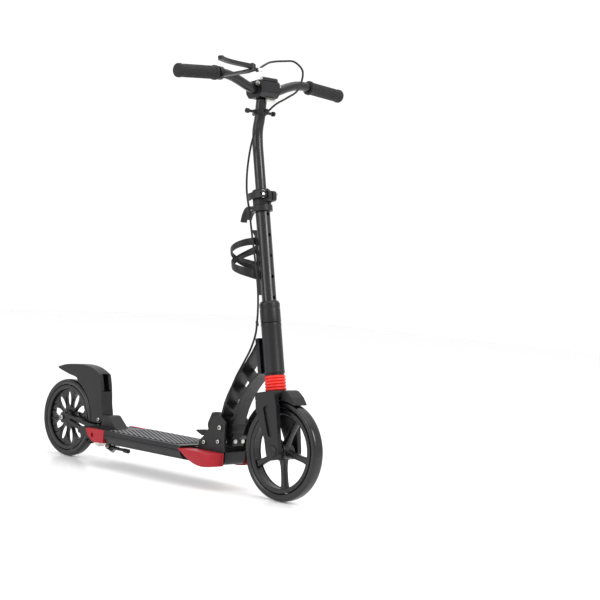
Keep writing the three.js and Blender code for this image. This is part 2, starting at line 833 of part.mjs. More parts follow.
// ---------------------------------------------------------------- fork and front wheel, about the steering axis
const axleHeight = -axleDrop;
const legInner = 26;
const legOuter = 38;
const forkTubeTop = 92;
const forkTubeRadius = lowerTubeBore - slack;

function forkBody() {
  const crownTop = -bellowsLength - fit;
  const crownBottom = crownTop - crownHeight;
  const leg = rounded([
    [-30, crownTop - 2, 8],
    [-33, crownBottom - 22, 10],
    [forkOffset - 22, axleHeight + 30, 20],
    [forkOffset - 19, axleHeight - 20, 18],
    [forkOffset + 19, axleHeight - 20, 18],
    [forkOffset + 22, axleHeight + 30, 20],
    [34, crownBottom - 18, 12],
    [30, crownTop - 2, 8],
  ]);
  const recess = rounded([
    [-9, crownBottom - 16, 8],
    [forkOffset - 9, axleHeight + 34, 8],
    [forkOffset + 9, axleHeight + 34, 8],
    [12, crownBottom - 16, 8],
  ]);
  const legs = [-1, 1].map((side) => {
    const bar = acrossY(leg, side * legInner, side * legOuter);
    return cut(bar, acrossY(recess, side * (legOuter - 4), side * (legOuter + 5)));
  });
  const crown = acrossY(
    rounded([
      [-30, crownTop, 4],
      [-33, crownBottom, 4],
      [33, crownBottom, 4],
      [30, crownTop, 4],
    ]),
    -legOuter,
    legOuter,
  );
  const neckTube = turned([
    [0, crownTop - 2],
    [forkTubeRadius, crownTop - 2],
    [forkTubeRadius, forkTubeTop],
    [0, forkTubeTop],
  ]);
  const hollow = rod([0, 0, crownTop + 4], [0, 0, forkTubeTop + 1], forkTubeRadius - 3, 20);
  const axleHole = acrossY(disc(frontAxleRadius + fit, forkOffset, axleHeight), -60, 60, 7);
  return cut(join(crown, ...legs, neckTube), hollow, axleHole);
}

const frontAxleRadius = 4;

function frontAxleBolt() {
  const outside = legOuter + fit;
  return turnedAboutY(
    [
      [0, -outside - 5],
      [7, -outside - 4],
      [7.5, -outside],
      [frontAxleRadius, -outside],
      [frontAxleRadius, outside],
      [7.5, outside],
      [7, outside + 4],
      [0, outside + 5],
    ],
    forkOffset,
    axleHeight,
    12,
  );
}

// A mudguard over the tyre: a thin arc under the crown, a hooded nose in front and a flick at the back.
function frontFender() {
  const inner = frontWheelRadius + 2.6;
  const outer = inner + 2.6;
  const half = 20;
  const from = THREE.MathUtils.degToRad(58);
  const to = THREE.MathUtils.degToRad(158);
  const at = (radius, angle) => new THREE.Vector2(forkOffset + radius * Math.cos(angle), axleHeight + radius * Math.sin(angle));
  const steps = 12;
  const inside = [];
  const outside = [];
  for (let i = 0; i <= steps; i++) {
    const angle = from + ((to - from) * i) / steps;
    inside.push(at(inner, angle));
    outside.unshift(at(outer, angle));
  }
  const arc = acrossY(new THREE.Shape([...inside, ...outside]), -half, half);
  const flick = acrossY(ribbon([at(inner + 1.5, to - 0.03), at(inner + 12, to + 0.09)], 3), -half, half);
  const hood = acrossY(
    rounded([
      [35, -bellowsLength - crownHeight - 6],
      [35, -bellowsLength - 2, 4],
      [52, -bellowsLength - 3, 12],
      [68, axleHeight + 118, 14],
      [at(outer, from).x + 4, at(outer, from).y - 4, 3],
      [at(inner, from).x - 8, at(inner, from).y],
    ]),
    -half,
    half,
  );
  const wheelRoom = acrossY(disc(inner, forkOffset, axleHeight), -60, 60, 24);
  return cut(join(arc, flick, hood), wheelRoom);
}

// The rubber bellows over the fork spring: an outer skin of round ribs.
const bellowsRibs = 5;
function suspensionBellows() {
  const low = -bellowsLength + fit;
  const high = -springSeat - fit;
  const pitch = (high - low) / bellowsRibs;
  const rib = 24.5;
  const root = 22.5;
  const wall = 1.8;
  const outside = [];
  for (let i = 0; i < bellowsRibs; i++) {
    outside.push([root, low + i * pitch]);
    outside.push([rib, low + (i + 0.5) * pitch]);
  }
  outside.push([root, high]);
  return turned([[root - wall, low], ...outside, [root - wall, high]], 20);
}

function suspensionSpring() {
  const low = -bellowsLength + 2.2;
  const high = -springSeat - 2.2;
  const coils = 5;
  const wire = 1.5;
  const mean = 17.6;
  const points = [];
  const perTurn = 8;
  for (let i = 0; i <= coils * perTurn; i++) {
    const angle = (2 * Math.PI * i) / perTurn;
    points.push([mean * Math.cos(angle), mean * Math.sin(angle), low + ((high - low) * i) / (coils * perTurn)]);
  }
  return swept(points, wire, 5, coils * perTurn);
}

const hubRadius = 21;
const bearingOuter = 11;
const frontHubHalf = 20;

// A wheel about a line along Y: hub, spokes and the band that holds the tyre.
function wheelRim(x, z, wheel) {
  const bandInner = wheel.radius - wheel.tyreDepth - wheel.bandDepth;
  const bandOuter = wheel.radius - wheel.tyreDepth - fit;
  const band = turnedAboutY(
    [
      [bandInner + 3, -wheel.bandHalf],
      [bandOuter, -wheel.bandHalf],
      [bandOuter, wheel.bandHalf],
      [bandInner + 3, wheel.bandHalf],
      [bandInner, wheel.bandHalf - 3],
      [bandInner, -wheel.bandHalf + 3],
    ],
    x,
    z,
    32,
  );
  const hub = turnedAboutY(
    [
      [0, -wheel.hubHalf],
      [wheel.hubRadius, -wheel.hubHalf],
      [wheel.hubRadius, wheel.hubHalf],
      [0, wheel.hubHalf],
    ],
    x,
    z,
    16,
  );
  const spokes = [];
  for (let i = 0; i < wheel.spokes; i++) {
    const angle = wheel.firstSpoke + (2 * Math.PI * i) / wheel.spokes;
    const along = new THREE.Vector2(Math.cos(angle), Math.sin(angle));
    const side = new THREE.Vector2(-along.y, along.x);
    const corner = (reach, half) => {
      return new THREE.Vector2(x, z).addScaledVector(along, reach).addScaledVector(side, half);
    };
    const spoke = new THREE.Shape([
      corner(bearingOuter + 3, -wheel.spokeRoot / 2),
      corner(bandInner + 1.5, -wheel.spokeTip / 2),
      corner(bandInner + 1.5, wheel.spokeTip / 2),
      corner(bearingOuter + 3, wheel.spokeRoot / 2),
    ]);
    spokes.push(acrossY(spoke, -wheel.spokeHalf, wheel.spokeHalf));
  }
  const bore = acrossY(disc(bearingOuter + 2 * fit, x, z), -50, 50, 8);
  return cut(join(band, hub, ...spokes), bore);
}

function tyre(x, z, wheel) {
  const inner = wheel.radius - wheel.tyreDepth;
  const half = wheel.tyreWidth / 2;
  return turnedAboutY(
    [
      [inner, -half + 2],
      [wheel.radius - 8, -half],
      [wheel.radius - 2, -half + 6],
      [wheel.radius, 0],
      [wheel.radius - 2, half - 6],
      [wheel.radius - 8, half],
      [inner, half - 2],
    ],
    x,
    z,
    40,
  );
}

// A bearing cartridge that fills the hub, as long as the hub.
function hubBearing(x, z, wheel, axleRadius) {
  return turnedAboutY(
    [
      [axleRadius + fit, -wheel.hubHalf],
      [bearingOuter, -wheel.hubHalf],
      [bearingOuter, wheel.hubHalf],
      [axleRadius + fit, wheel.hubHalf],
    ],
    x,
    z,
    16,
  );
}

const frontWheel = {
  radius: frontWheelRadius,
  tyreWidth,
  tyreDepth: 18,
  bandDepth: 12,
  bandHalf: 13,
  hubHalf: frontHubHalf,
  hubRadius,
  spokes: 5,
  firstSpoke: THREE.MathUtils.degToRad(63 - 11.58),
  spokeRoot: 20,
  spokeTip: 14,
  spokeHalf: 8,
};
const rearWheel = {
  radius: rearWheelRadius,
  tyreWidth: rearTyreWidth,
  tyreDepth: 16,
  bandDepth: 11,
  bandHalf: 12,
  hubHalf: 17,
  hubRadius: 17,
  spokes: 10,
  firstSpoke: THREE.MathUtils.degToRad(9),
  spokeRoot: 9,
  spokeTip: 6,
  spokeHalf: 6,
};

// ---------------------------------------------------------------- T-bar, about the steering axis
const bendHeight = 569;
const tBarFoot = buttonHeight - 24;
const barAhead = 32; // handlebar ahead of the steering axis
const upperLean = THREE.MathUtils.degToRad(4) + rake; // the upper leg leans ahead of the steering axis
const barRadius = 11;
const barWall = 2.2;
const gripRadius = 15.5;
const gripLength = 115;

const barMiddle = new THREE.Vector3(barAhead, 0, barRise - 17);
const clampBlock = { back: 28, front: 26, half: 30, low: 20, high: 20 };
const legTopAhead = barMiddle.x - 8; // where the upper leg's middle meets the clamp

function upperStemTube() {
  const top = barMiddle.z - clampBlock.low - 3;
  const lean = Math.tan(upperLean);
  const topAhead = legTopAhead;
  const bendAhead = topAhead - lean * (top - bendHeight);
  const axis = [
    [0, 0, tBarFoot],
    [0, 0, bendHeight - 60],
    [0, 0, bendHeight - 30],
    [bendAhead * 0.5 + 1.5, 0, bendHeight + 4],
    [topAhead - lean * (top - bendHeight) * 0.6, 0, bendHeight + (top - bendHeight) * 0.4],
    [topAhead, 0, top],
  ];
  const outside = swept(axis, upperTubeRadius, 14, 10);
  const lengthen = [
    [0, 0, tBarFoot - 5],
    ...axis.slice(1, -1),
    [topAhead + lean * 5, 0, top + 5],
  ];
  const inside = swept(lengthen, upperTubeBore, 8, 10);
  const buttonHole = rod([2, 0, buttonHeight], [upperTubeRadius + 4, 0, buttonHeight], buttonRadius + fit, 12);
  return cut(outside, inside, buttonHole);
}

// The block that grips the handlebar, on top of the upper tube.
function barClamp() {
  const { back, front, half, low, high } = clampBlock;
  const profile = rounded([
    [barMiddle.x - back, barMiddle.z - 6, 10],
    [barMiddle.x - back + 4, barMiddle.z + high, 12],
    [barMiddle.x + front, barMiddle.z + high - 1, 9],
    [barMiddle.x + front, barMiddle.z - 10, 8],
    [barMiddle.x + 14, barMiddle.z - low, 8],
    [barMiddle.x - 20, barMiddle.z - low, 8],
  ]);
  const body = acrossY(profile, -half, half);
  const barRoom = acrossY(disc(barRadius + slack + fit, barMiddle.x, barMiddle.z), -50, 50, 10);
  const boltRoom = acrossY(disc(clampBoltRadius + fit, clampBolt.x, clampBolt.y), -50, 50, 4);
  const tubeRoom = rod(
    [legTopAhead - 20 * Math.tan(upperLean), 0, barMiddle.z - low - 23],
    [legTopAhead + 3 * Math.tan(upperLean), 0, barMiddle.z - low],
    upperTubeRadius + 2 * fit,
    16,
  );
  return cut(body, barRoom, boltRoom, tubeRoom);
}

const clampBoltRadius = 2.5;
const clampBolt = new THREE.Vector2(barMiddle.x + 18, barMiddle.z + 10);

function barClampBolt() {
  const outside = clampBlock.half + fit;
  return turnedAboutY(
    [
      [0, -outside - 6],
      [5.5, -outside - 6],
      [5.5, -outside],
      [clampBoltRadius, -outside],
      [clampBoltRadius, outside],
      [5.5, outside],
      [5.5, outside + 6],
      [0, outside + 6],
    ],
    clampBolt.x,
    clampBolt.y,
    12,
  );
}

// The ring under the clamp with a peg on each side and one in front and behind, for a bag.
const pegHeight = 613;
function accessoryCollar() {
  const ahead = legTopAhead - (barMiddle.z - clampBlock.low - 3 - pegHeight) * Math.tan(upperLean);
  const ring = rod([ahead - 1, 0, pegHeight - 5.5], [ahead + 1, 0, pegHeight + 5.5], 17, 18);
  const pegs = [-1, 1].map((side) => {
    const shank = rod([ahead, side * 12, pegHeight], [ahead, side * 42, pegHeight], 3.6, 8);
    const knob = rod([ahead, side * 39, pegHeight], [ahead, side * 45, pegHeight], 6, 10);
    return join(shank, knob);
  });
  const noses = [-1, 1].map((side) => {
    return rod([ahead + side * 12, 0, pegHeight], [ahead + side * 24, 0, pegHeight], 4, 8);
  });
  const reach = 20;
  const lean = Math.tan(upperLean);
  const room = rod(
    [ahead - reach * lean, 0, pegHeight - reach],
    [ahead + reach * lean, 0, pegHeight + reach],
    upperTubeRadius + fit + 0.4,
    16,
  );
  return cut(join(ring, ...pegs, ...noses), room);
}

// The handlebar's right half as seen along the bar: a dip at the clamp, an S-bend and a straight grip end.
const gripRise = 25; // a grip's inner end above the bar's middle
const gripDroop = 8.5; // and how far its outer end falls again
function barPath() {
  const half = barHalfWidth - 2;
  const { x, z } = barMiddle;
  const gripEnd = new THREE.Vector3(x - 3, -half, z + gripRise - gripDroop);
  const gripStart = new THREE.Vector3(x + 2, -half + gripLength + 14, z + gripRise);
  const straight = [0, 0.3, 0.7, 1].map((share) => gripStart.clone().lerp(gripEnd, share).toArray());
  const across = (share) => THREE.MathUtils.lerp(-clampBlock.half, gripStart.y, share);
  const right = [
    [x, -clampBlock.half / 2, z],
    [x, -clampBlock.half - 3, z],
    [x + 0.5, across(0.21), z + 5],
    [x + 1, across(0.47), z + gripRise * 0.6],
    [x + 2, across(0.74), z + gripRise - 2.5],
    ...straight,
  ];
  const left = right.map(([ahead, aside, up]) => [ahead, -aside, up]);
  return [...right.reverse(), [x, 0, z], ...left];
}

function handlebar() {
  const steps = 24;
  return cut(swept(barPath(), barRadius, 10, steps), swept(barPath(), barRadius - barWall, 6, steps));
}

// A ribbed rubber grip with a flange at its inner end and a flared outer end.
function grip(side) {
  const path = barPath();
  const end = new THREE.Vector3(...(side < 0 ? path[0] : path[path.length - 1]));
  const nearer = new THREE.Vector3(...(side < 0 ? path[1] : path[path.length - 2]));
  const along = nearer.clone().sub(end).normalize();
  const bore = barRadius + 0.9;
  const profile = [
    [0, -3],
    [gripRadius - 1, -3],
    [gripRadius + 0.7, 0],
    [gripRadius + 0.7, 7],
    [gripRadius - 0.5, 11],
    [gripRadius - 0.5, gripLength - 10],
    [gripRadius + 1.8, gripLength - 7],
    [gripRadius + 1.8, gripLength - 3],
    [bore, gripLength - 3],
    [bore, -fit],
    [0, -fit],
  ];
  const points = profile.map(([radius, height]) => new THREE.Vector2(radius, height));
  const geometry = new THREE.LatheGeometry(points, 16);
  const up = new THREE.Vector3(0, 1, 0);
  geometry.applyQuaternion(new THREE.Quaternion().setFromUnitVectors(up, along));
  return solid(geometry.translate(end.x, end.y, end.z));
}

// ---------------------------------------------------------------- hand brake on the handlebar's right side
const perchAcross = -barHalfWidth + gripLength + 8;
const perchMiddle = new THREE.Vector3(barMiddle.x + 2, perchAcross, barMiddle.z + gripRise - 1);
const leverPivot = new THREE.Vector3(perchMiddle.x + 83, perchAcross + 26, perchMiddle.z - 1);
const leverPinRadius = 2.5;
const leverThickness = 9;

// The bracket round the bar: a long arm forward to the lever's pin, and the cable's adjuster beside it.
function brakePerch() {
  const bandAt = perchMiddle;
  const band = rod([bandAt.x, perchAcross - 6, bandAt.z], [bandAt.x, perchAcross + 6, bandAt.z], barRadius + 4.5, 24);
  const low = leverPivot.z - leverThickness / 2 - slack;
  const arm = upZ(
    rounded([
      [perchMiddle.x + 8, perchAcross - 6],
      [leverPivot.x - 20, leverPivot.y - 12, 12],
      [leverPivot.x + 6, leverPivot.y - 8, 6],
      [leverPivot.x + 8, leverPivot.y + 8, 6],
      [leverPivot.x - 22, leverPivot.y + 7, 12],
      [perchMiddle.x + 8, perchAcross + 6],
    ]),
    low - 5,
    low,
  );
  const tongue = rod([leverPivot.x, leverPivot.y + 3, low - 2.5], [leverPivot.x + 3, leverPivot.y + 10, low - 2.5], 2.4, 12);
  const nose = rod([leverPivot.x + 2.5, leverPivot.y + 9, low - 2.5], [leverPivot.x + 4, leverPivot.y + 13, low - 2], 5, 12);
  const adjuster = rod([leverPivot.x + 3.7, leverPivot.y + 12, low - 2], [leverPivot.x + 6.5, leverPivot.y + 20, low - 1.5], 4, 12);
  const barRoom = swept(barPath(), barRadius + 2 * fit, 10, 24);
  const pinTop = leverPivot.z + leverThickness / 2 + slack;
  const pin = rod([leverPivot.x, leverPivot.y, low - 3], [leverPivot.x, leverPivot.y, pinTop], leverPinRadius, 12);
  const head = rod([leverPivot.x, leverPivot.y, pinTop], [leverPivot.x, leverPivot.y, pinTop + 2], leverPinRadius + 2.5, 12);
  return join(cut(join(band, arm, tongue, nose, adjuster), barRoom), pin, head);
}

// The lever: a curved two-finger blade in front of the grip, turning on a pin through the perch.
function brakeLever() {
  const low = leverPivot.z - leverThickness / 2;
  const high = leverPivot.z + leverThickness / 2;
  const tip = new THREE.Vector2(leverPivot.x + 20, -barHalfWidth + 34);
  const blade = new THREE.CubicBezierCurve(
    new THREE.Vector2(leverPivot.x, leverPivot.y),
    new THREE.Vector2(leverPivot.x + 4, leverPivot.y - 40),
    new THREE.Vector2(leverPivot.x + 2, leverPivot.y - 80),
    tip,
  );
  const bar = upZ(ribbon(blade.getPoints(12), 10), low, high);
  const eye = upZ(disc(8, leverPivot.x, leverPivot.y), low, high, 10);
  const knob = upZ(disc(6.5, tip.x, tip.y), low, high, 10);
  const bore = upZ(disc(leverPinRadius + fit, leverPivot.x, leverPivot.y), low - 20, high + 20, 5);
  return cut(join(bar, eye, knob), bore);
}

// ---------------------------------------------------------------- rear end
const fenderPin = new THREE.Vector2(deckRear + 27, deckTop + 15);
const fenderPinRadius = 3.5;
const fenderHalf = 18;
const hingeHalf = 11.5;

// The casting behind the board, with a raised hinge block that carries the foot brake.
function rearBlock() {
  const sole = rounded([
    [deckRear, deckBottom + 2, 5],
    [boardRear - fit, deckBottom + 2, 2],
    [boardRear - fit, deckTop, 2],
    [deckRear + 100, deckTop, 4],
    [deckRear + 66, deckTop + 29, 8],
    [deckRear + 43, deckTop + 29, 8],
    [deckRear + 41, deckTop, 2],
    [deckRear, deckTop, 4],
  ]);
  const body = acrossY(sole, -dropoutInner + fit, dropoutInner - fit);
  const lighten = acrossY(
    rounded([
      [deckRear + 40, deckBottom + 9, 5],
      [boardRear - 12, deckBottom + 9, 5],
      [boardRear - 12, deckTop - 7, 5],
      [deckRear + 40, deckTop - 7, 5],
    ]),
    -50,
    50,
  );
  const web = block([deckRear + 38, boardRear - 10], [-10, 10], [deckBottom + 7, deckTop - 5]);
  const ears = acrossY(
    rounded([
      [fenderPin.x - 9, deckTop - 6, 3],
      [fenderPin.x + 20, deckTop - 6],
      [fenderPin.x + 20, deckTop + 20],
      [fenderPin.x - 2, deckTop + 25, 9],
      [fenderPin.x - 9, deckTop + 12, 6],
    ]),
    -hingeHalf + slack,
    hingeHalf - slack,
  );
  const bore = acrossY(disc(fenderPinRadius + fit, fenderPin.x, fenderPin.y), -50, 50, 5);
  return cut(join(cut(body, lighten), web, ears), bore);
}

function fenderPivotPin() {
  const half = fenderHalf + fit;
  return turnedAboutY(
    [
      [0, -half - 3],
      [6, -half - 3],
      [6, -half],
      [fenderPinRadius, -half],
      [fenderPinRadius, half],
      [6, half],
      [6, half + 3],
      [0, half + 3],
    ],
    fenderPin.x,
    fenderPin.y,
    14,
  );
}

// The foot brake: a claw-shaped fender from its hinge up and back over the rear wheel.
const fenderWall = 4;
function rearFender() {
  const top = 2 * rearWheelRadius + 43;
  const rise = (share) => rearAxle.y + (top - rearAxle.y) * share;
  const skinShape = rounded([
    [fenderPin.x + 11, fenderPin.y - 4, 4],
    [fenderPin.x + 11, fenderPin.y + 12, 6],
    [fenderPin.x - 14, fenderPin.y + 76, 30],
    [fenderPin.x - 22, top - 16, 10],
    [fenderPin.x - 42, top - 4, 12],
    [fenderPin.x - 80, top, 16],
    [fenderPin.x - 182, top - 14, 3],
    [fenderPin.x - 182, top - 18, 2],
    [fenderPin.x - 92, rise(0.76), 50],
    [fenderPin.x - 52, rise(0.5), 30],
    [fenderPin.x - 27, fenderPin.y + 10, 16],
    [fenderPin.x - 11, fenderPin.y - 8, 6],
    [fenderPin.x - 4, fenderPin.y - 9, 5],
  ]);
  const full = acrossY(skinShape, -fenderHalf, fenderHalf);
  // hollow underneath: the same claw, a wall smaller, open towards the wheel
  const hollowShape = rounded([
    [fenderPin.x - 6, fenderPin.y + 16, 6],
    [fenderPin.x - 20, fenderPin.y + 70, 30],
    [fenderPin.x - 29, top - 22, 10],
    [fenderPin.x - 46, top - 5 - fenderWall, 12],
    [fenderPin.x - 80, top - 1 - fenderWall, 16],
    [fenderPin.x - 150, top - 10 - fenderWall, 3],
    [fenderPin.x - 110, rise(0.6), 3],
    [fenderPin.x - 60, fenderPin.y, 3],
  ]);
  const hollow = acrossY(hollowShape, -fenderHalf + fenderWall, fenderHalf - fenderWall);
  const hingeGap = block([fenderPin.x - 14, fenderPin.x + 30], [-hingeHalf, hingeHalf], [fenderPin.y - 20, fenderPin.y + 17]);
  const slot = block([fenderPin.x - 40, fenderPin.x + 10], [-10, 10], [fenderPin.y + 74, fenderPin.y + 106]);
  const wheelRoom = acrossY(disc(rearWheelRadius + 8, rearAxle.x, rearAxle.y), -50, 50, 20);
  const bore = acrossY(disc(fenderPinRadius + fit, fenderPin.x, fenderPin.y), -50, 50, 5);
  return cut(full, hollow, hingeGap, slot, wheelRoom, bore);
}

const rearAxleRadius = 4;

// A Y-shaped arm on one side, from the casting to the rear axle.
function dropout(side) {
  const boss = new THREE.Vector2(rearAxle.x, rearAxle.y);
  const root = boardRear - 2;
  const shape = rounded([
    [root, deckBottom + 4, 4],
    [root, deckTop - 2, 4],
    [deckRear - 6, deckTop + 3, 10],
    [boss.x + 20, boss.y + 11, 12],
    [boss.x - 4, boss.y + 15, 10],
    [boss.x - 15, boss.y, 10],
    [boss.x - 4, boss.y - 15, 10],
    [boss.x + 20, boss.y - 12, 12],
    [deckRear - 6, deckBottom + 6, 10],
  ]);
  const window = rounded([
    [deckRear + 2, deckBottom + 15, 3],
    [deckRear + 2, deckTop - 9, 5],
    [boss.x + 30, boss.y + 1, 3],
    [boss.x + 30, boss.y - 4, 3],
  ]);
  const arm = cut(
    acrossY(shape, side * dropoutInner, side * (dropoutInner + dropoutThickness)),
    acrossY(window, -60, 60),
    acrossY(disc(rearAxleRadius + fit, boss.x, boss.y), -60, 60, 7),
  );
  return arm;
}

function rearAxleBolt() {
  const outside = dropoutInner + dropoutThickness + fit;
  return turnedAboutY(
    [
      [0, -outside - 5],
      [8, -outside - 4],
      [8.5, -outside],
      [rearAxleRadius, -outside],
      [rearAxleRadius, outside],
      [8.5, outside],
      [8, outside + 4],
      [0, outside + 5],
    ],
    rearAxle.x,
    rearAxle.y,
    12,
  );
}

// ---------------------------------------------------------------- kickstand and rear brake, under the deck
const standPivot = new THREE.Vector3(boardRear - 8, -46, deckBottom - 10);
const standLength = 72;
const standRadius = 4;
const standTilt = THREE.MathUtils.degToRad(25);

// The bracket's screw axis leans, so that the leg swings down and outwards.
function standAlong(distance) {
  const axis = [0, Math.cos(standTilt), -Math.sin(standTilt)];
  return axis.map((part, i) => standPivot.getComponent(i) + part * distance);
}

function kickstandBracket() {
  const plate = rod(standAlong(6), standAlong(14), 9, 16);
  const post = block([standPivot.x - 8, standPivot.x + 8], [standPivot.y + 11, standPivot.y + 24], [deckBottom - 16, deckBottom + 6]);
  const pin = rod(standAlong(-9), standAlong(8), 3, 12);
  const head = rod(standAlong(-12), standAlong(-8.6), 6, 12);
  const under = deckBottom - rearCapDrop - fit;
  const boardRoom = block([boardRear - 60, boardFront], [-halfDeck, halfDeck], [under, deckTop]);
  return join(cut(join(plate, post), boardRoom), pin, head);
}

function kickstandLeg() {
  const eye = rod(standAlong(-7.9), standAlong(5.6), 7, 20);
  const middle = standAlong(-1.5);
  const leg = swept(
    [
      [middle[0], middle[1], middle[2]],
      [middle[0] + standLength * 0.45, middle[1], middle[2]],
      [middle[0] + standLength * 0.8, middle[1], middle[2]],
      [middle[0] + standLength, middle[1], middle[2] - 1],
    ],
    standRadius,
    10,
    8,
  );
  const foot = rod([middle[0] + standLength - 14, middle[1], middle[2] - 0.6], [middle[0] + standLength + 3, middle[1], middle[2] - 1], standRadius + 1.6, 12);
  const bore = rod(standAlong(-14), standAlong(12), 3 + fit, 12);
  return cut(join(eye, leg, foot), bore);
}

const brakePivot = new THREE.Vector3(deckRear + 16, 0, deckBottom - 4);
const brakeHalf = 9;

function brakeBracket() {
  const cheeks = [-1, 1].map((side) => {
    const shape = rounded([
      [brakePivot.x - 8, brakePivot.z - 7, 6],
      [brakePivot.x + 8, brakePivot.z - 7, 6],
      [brakePivot.x + 26, deckBottom - 2, 3],
      [brakePivot.x + 26, deckBottom + 2 - fit],
      [brakePivot.x - 8, deckBottom + 2 - fit],
    ]);
    return acrossY(shape, side * (brakeHalf + slack), side * (brakeHalf + slack + 3));
  });
  const bridge = block(
    [brakePivot.x + 12, brakePivot.x + 26],
    [-brakeHalf - 3, brakeHalf + 3],
    [deckBottom - 3, deckBottom + 2 - fit],
  );
  const stop = rod([brakePivot.x + 22, 0, deckBottom - 12], [brakePivot.x + 34, 0, deckBottom - 12], 5, 12);
  const stopPost = block([brakePivot.x + 23, brakePivot.x + 27], [-4, 4], [deckBottom - 12, deckBottom]);
  const pin = acrossY(disc(2.5, brakePivot.x, brakePivot.z), -brakeHalf - 5, brakeHalf + 5, 4);
  return join(...cheeks, bridge, stopPost, stop, pin);
}

const shoeGap = 2.4;
function brakeArm() {
  const shape = rounded([
    [brakePivot.x + 6, brakePivot.z - 6, 4],
    [brakePivot.x + 6, brakePivot.z + 4.5, 4],
    [brakePivot.x - 22, brakePivot.z + 5, 3],
    [brakePivot.x - 24, brakePivot.z - 4, 3],
    [brakePivot.x - 4, brakePivot.z - 16, 3],
    [brakePivot.x + 6, brakePivot.z - 18, 3],
  ]);
  const body = acrossY(shape, -brakeHalf, brakeHalf);
  const wheelRoom = acrossY(disc(rearWheelRadius + shoeGap + 7, rearAxle.x, rearAxle.y), -50, 50, 30);
  const bore = acrossY(disc(2.5 + fit, brakePivot.x, brakePivot.z), -50, 50, 4);
  return cut(body, wheelRoom, bore);
}

function brakeShoe() {
  const ring = acrossY(disc(rearWheelRadius + shoeGap + 6.7, rearAxle.x, rearAxle.y), -brakeHalf, brakeHalf, 40);
  const inside = acrossY(disc(rearWheelRadius + shoeGap, rearAxle.x, rearAxle.y), -50, 50, 40);
  const keep = block([brakePivot.x - 40, brakePivot.x - 2], [-20, 20], [brakePivot.z - 15, brakePivot.z + 4.5]);
  return cut(ring, inside).intersect(keep);
}

// ---------------------------------------------------------------- brake cable
const cableRadius = 2.5;
// From the lever's adjuster, over the bar, round in front of the stem and down its right side to the neck.
const upperRoute = [
  [325, -95, 982],
  [316, -72, 992],
  [300, -40, 1002],
  [290, 10, 1011],
  [284, 55, 1014],
  [286, 80, 996],
  [292, 62, 950],
  [290, 30, 928],
  [284, -2, 908],
  [268, -24, 874],
  [247, -28, 832],
  [225, -19, 765],
  [224, -16, 708],
  [243, -20, 655],
  [262, -27, 610],
  [275, -27.5, 565],
  [296, -28, 480],
  [303, -30, 430],
  [303, -30, 405],
];
// From the neck's seam, inside the curved neck, through the folding joint and under the deck to the brake arm.
const lowerRoute = [
  [303, -30, 403],
  [299, -28, 378],
  [284, -25.5, 342],
  [262, -25.5, 305],
  [243, -25.5, 275],
  [228, -25.5, 245],
  [217, -25.5, 215],
  [207, -26.5, 188],
  [198, -27, 165],
  [194, -27, 145],
  [191, -27, 122],
  [189, -27, 96],
  [189, -27, 60],
  [183, -26, 54.5],
  [166, -24, 53.5],
  [120, -20, 55],
  [20, -14, 56],
  [-80, -9, 56],
  [-180, -4, 55],
  [-222, -1, 50.5],
  [-240.7, 0, 49],
];

// ---------------------------------------------------------------- assembly
const scooter = new THREE.Group();
const steering = new THREE.Group();
steering.position.set(headBase.x, 0, headBase.y);
steering.rotation.y = -rake;
scooter.add(steering);

scooter.add(
  piece("deck_board", deckBoard(), blackPaint),
  piece("grip_sheet", gripSheet(), gripTape),
  piece("front_cap_right", frontCap(-1), redPlastic),
  piece("front_cap_left", frontCap(1), redPlastic),
  piece("rear_cap_right", rearCap(-1), redPlastic),
  piece("rear_cap_left", rearCap(1), redPlastic),
  piece("fold_base", foldBase(), blackPaint),
  piece("fold_plate_right", foldPlate(-1), blackPaint),
  piece("fold_plate_left", foldPlate(1), blackPaint),
  piece("fold_pivot_bolt", crossBolt(pivot.x, pivot.y, pivotBoltRadius, 8), steel),
  ...plateBolts.map(({ name, x, z }) => piece(name, crossBolt(x, z, plateBoltRadius, 6.5), steel)),
  piece("fold_pedal", foldPedal(), blackPlastic),
  piece("rear_block", rearBlock(), blackPaint),
  piece("fender_pivot_pin", fenderPivotPin(), steel),
  piece("rear_fender", rearFender(), blackPlastic),
  piece("dropout_right", dropout(-1), blackPaint),
  piece("dropout_left", dropout(1), blackPaint),
  piece("rear_axle", rearAxleBolt(), steel),
  piece("rear_rim", wheelRim(rearAxle.x, rearAxle.y, rearWheel), blackSatin),
  piece("rear_tyre", tyre(rearAxle.x, rearAxle.y, rearWheel), tyreRubber),
  piece("rear_bearing", hubBearing(rearAxle.x, rearAxle.y, rearWheel, rearAxleRadius), steel),
  piece("kickstand_bracket", kickstandBracket(), steel),
  piece("kickstand_leg", kickstandLeg(), blackPaint),
  piece("brake_bracket", brakeBracket(), steel),
  piece("brake_arm", brakeArm(), steel),
  piece("brake_shoe", brakeShoe(), blackRubber),
  piece("neck_frame", neckFrame(), blackPaint),
  piece("neck_bolt_right", neckBolt(-1), steel),
  piece("neck_bolt_left", neckBolt(1), steel),
  piece("brake_cable_upper", swept(upperRoute, cableRadius, 8, 52), blackRubber),
  piece("brake_cable_lower", swept(lowerRoute, cableRadius, 8, 50), blackRubber),
);

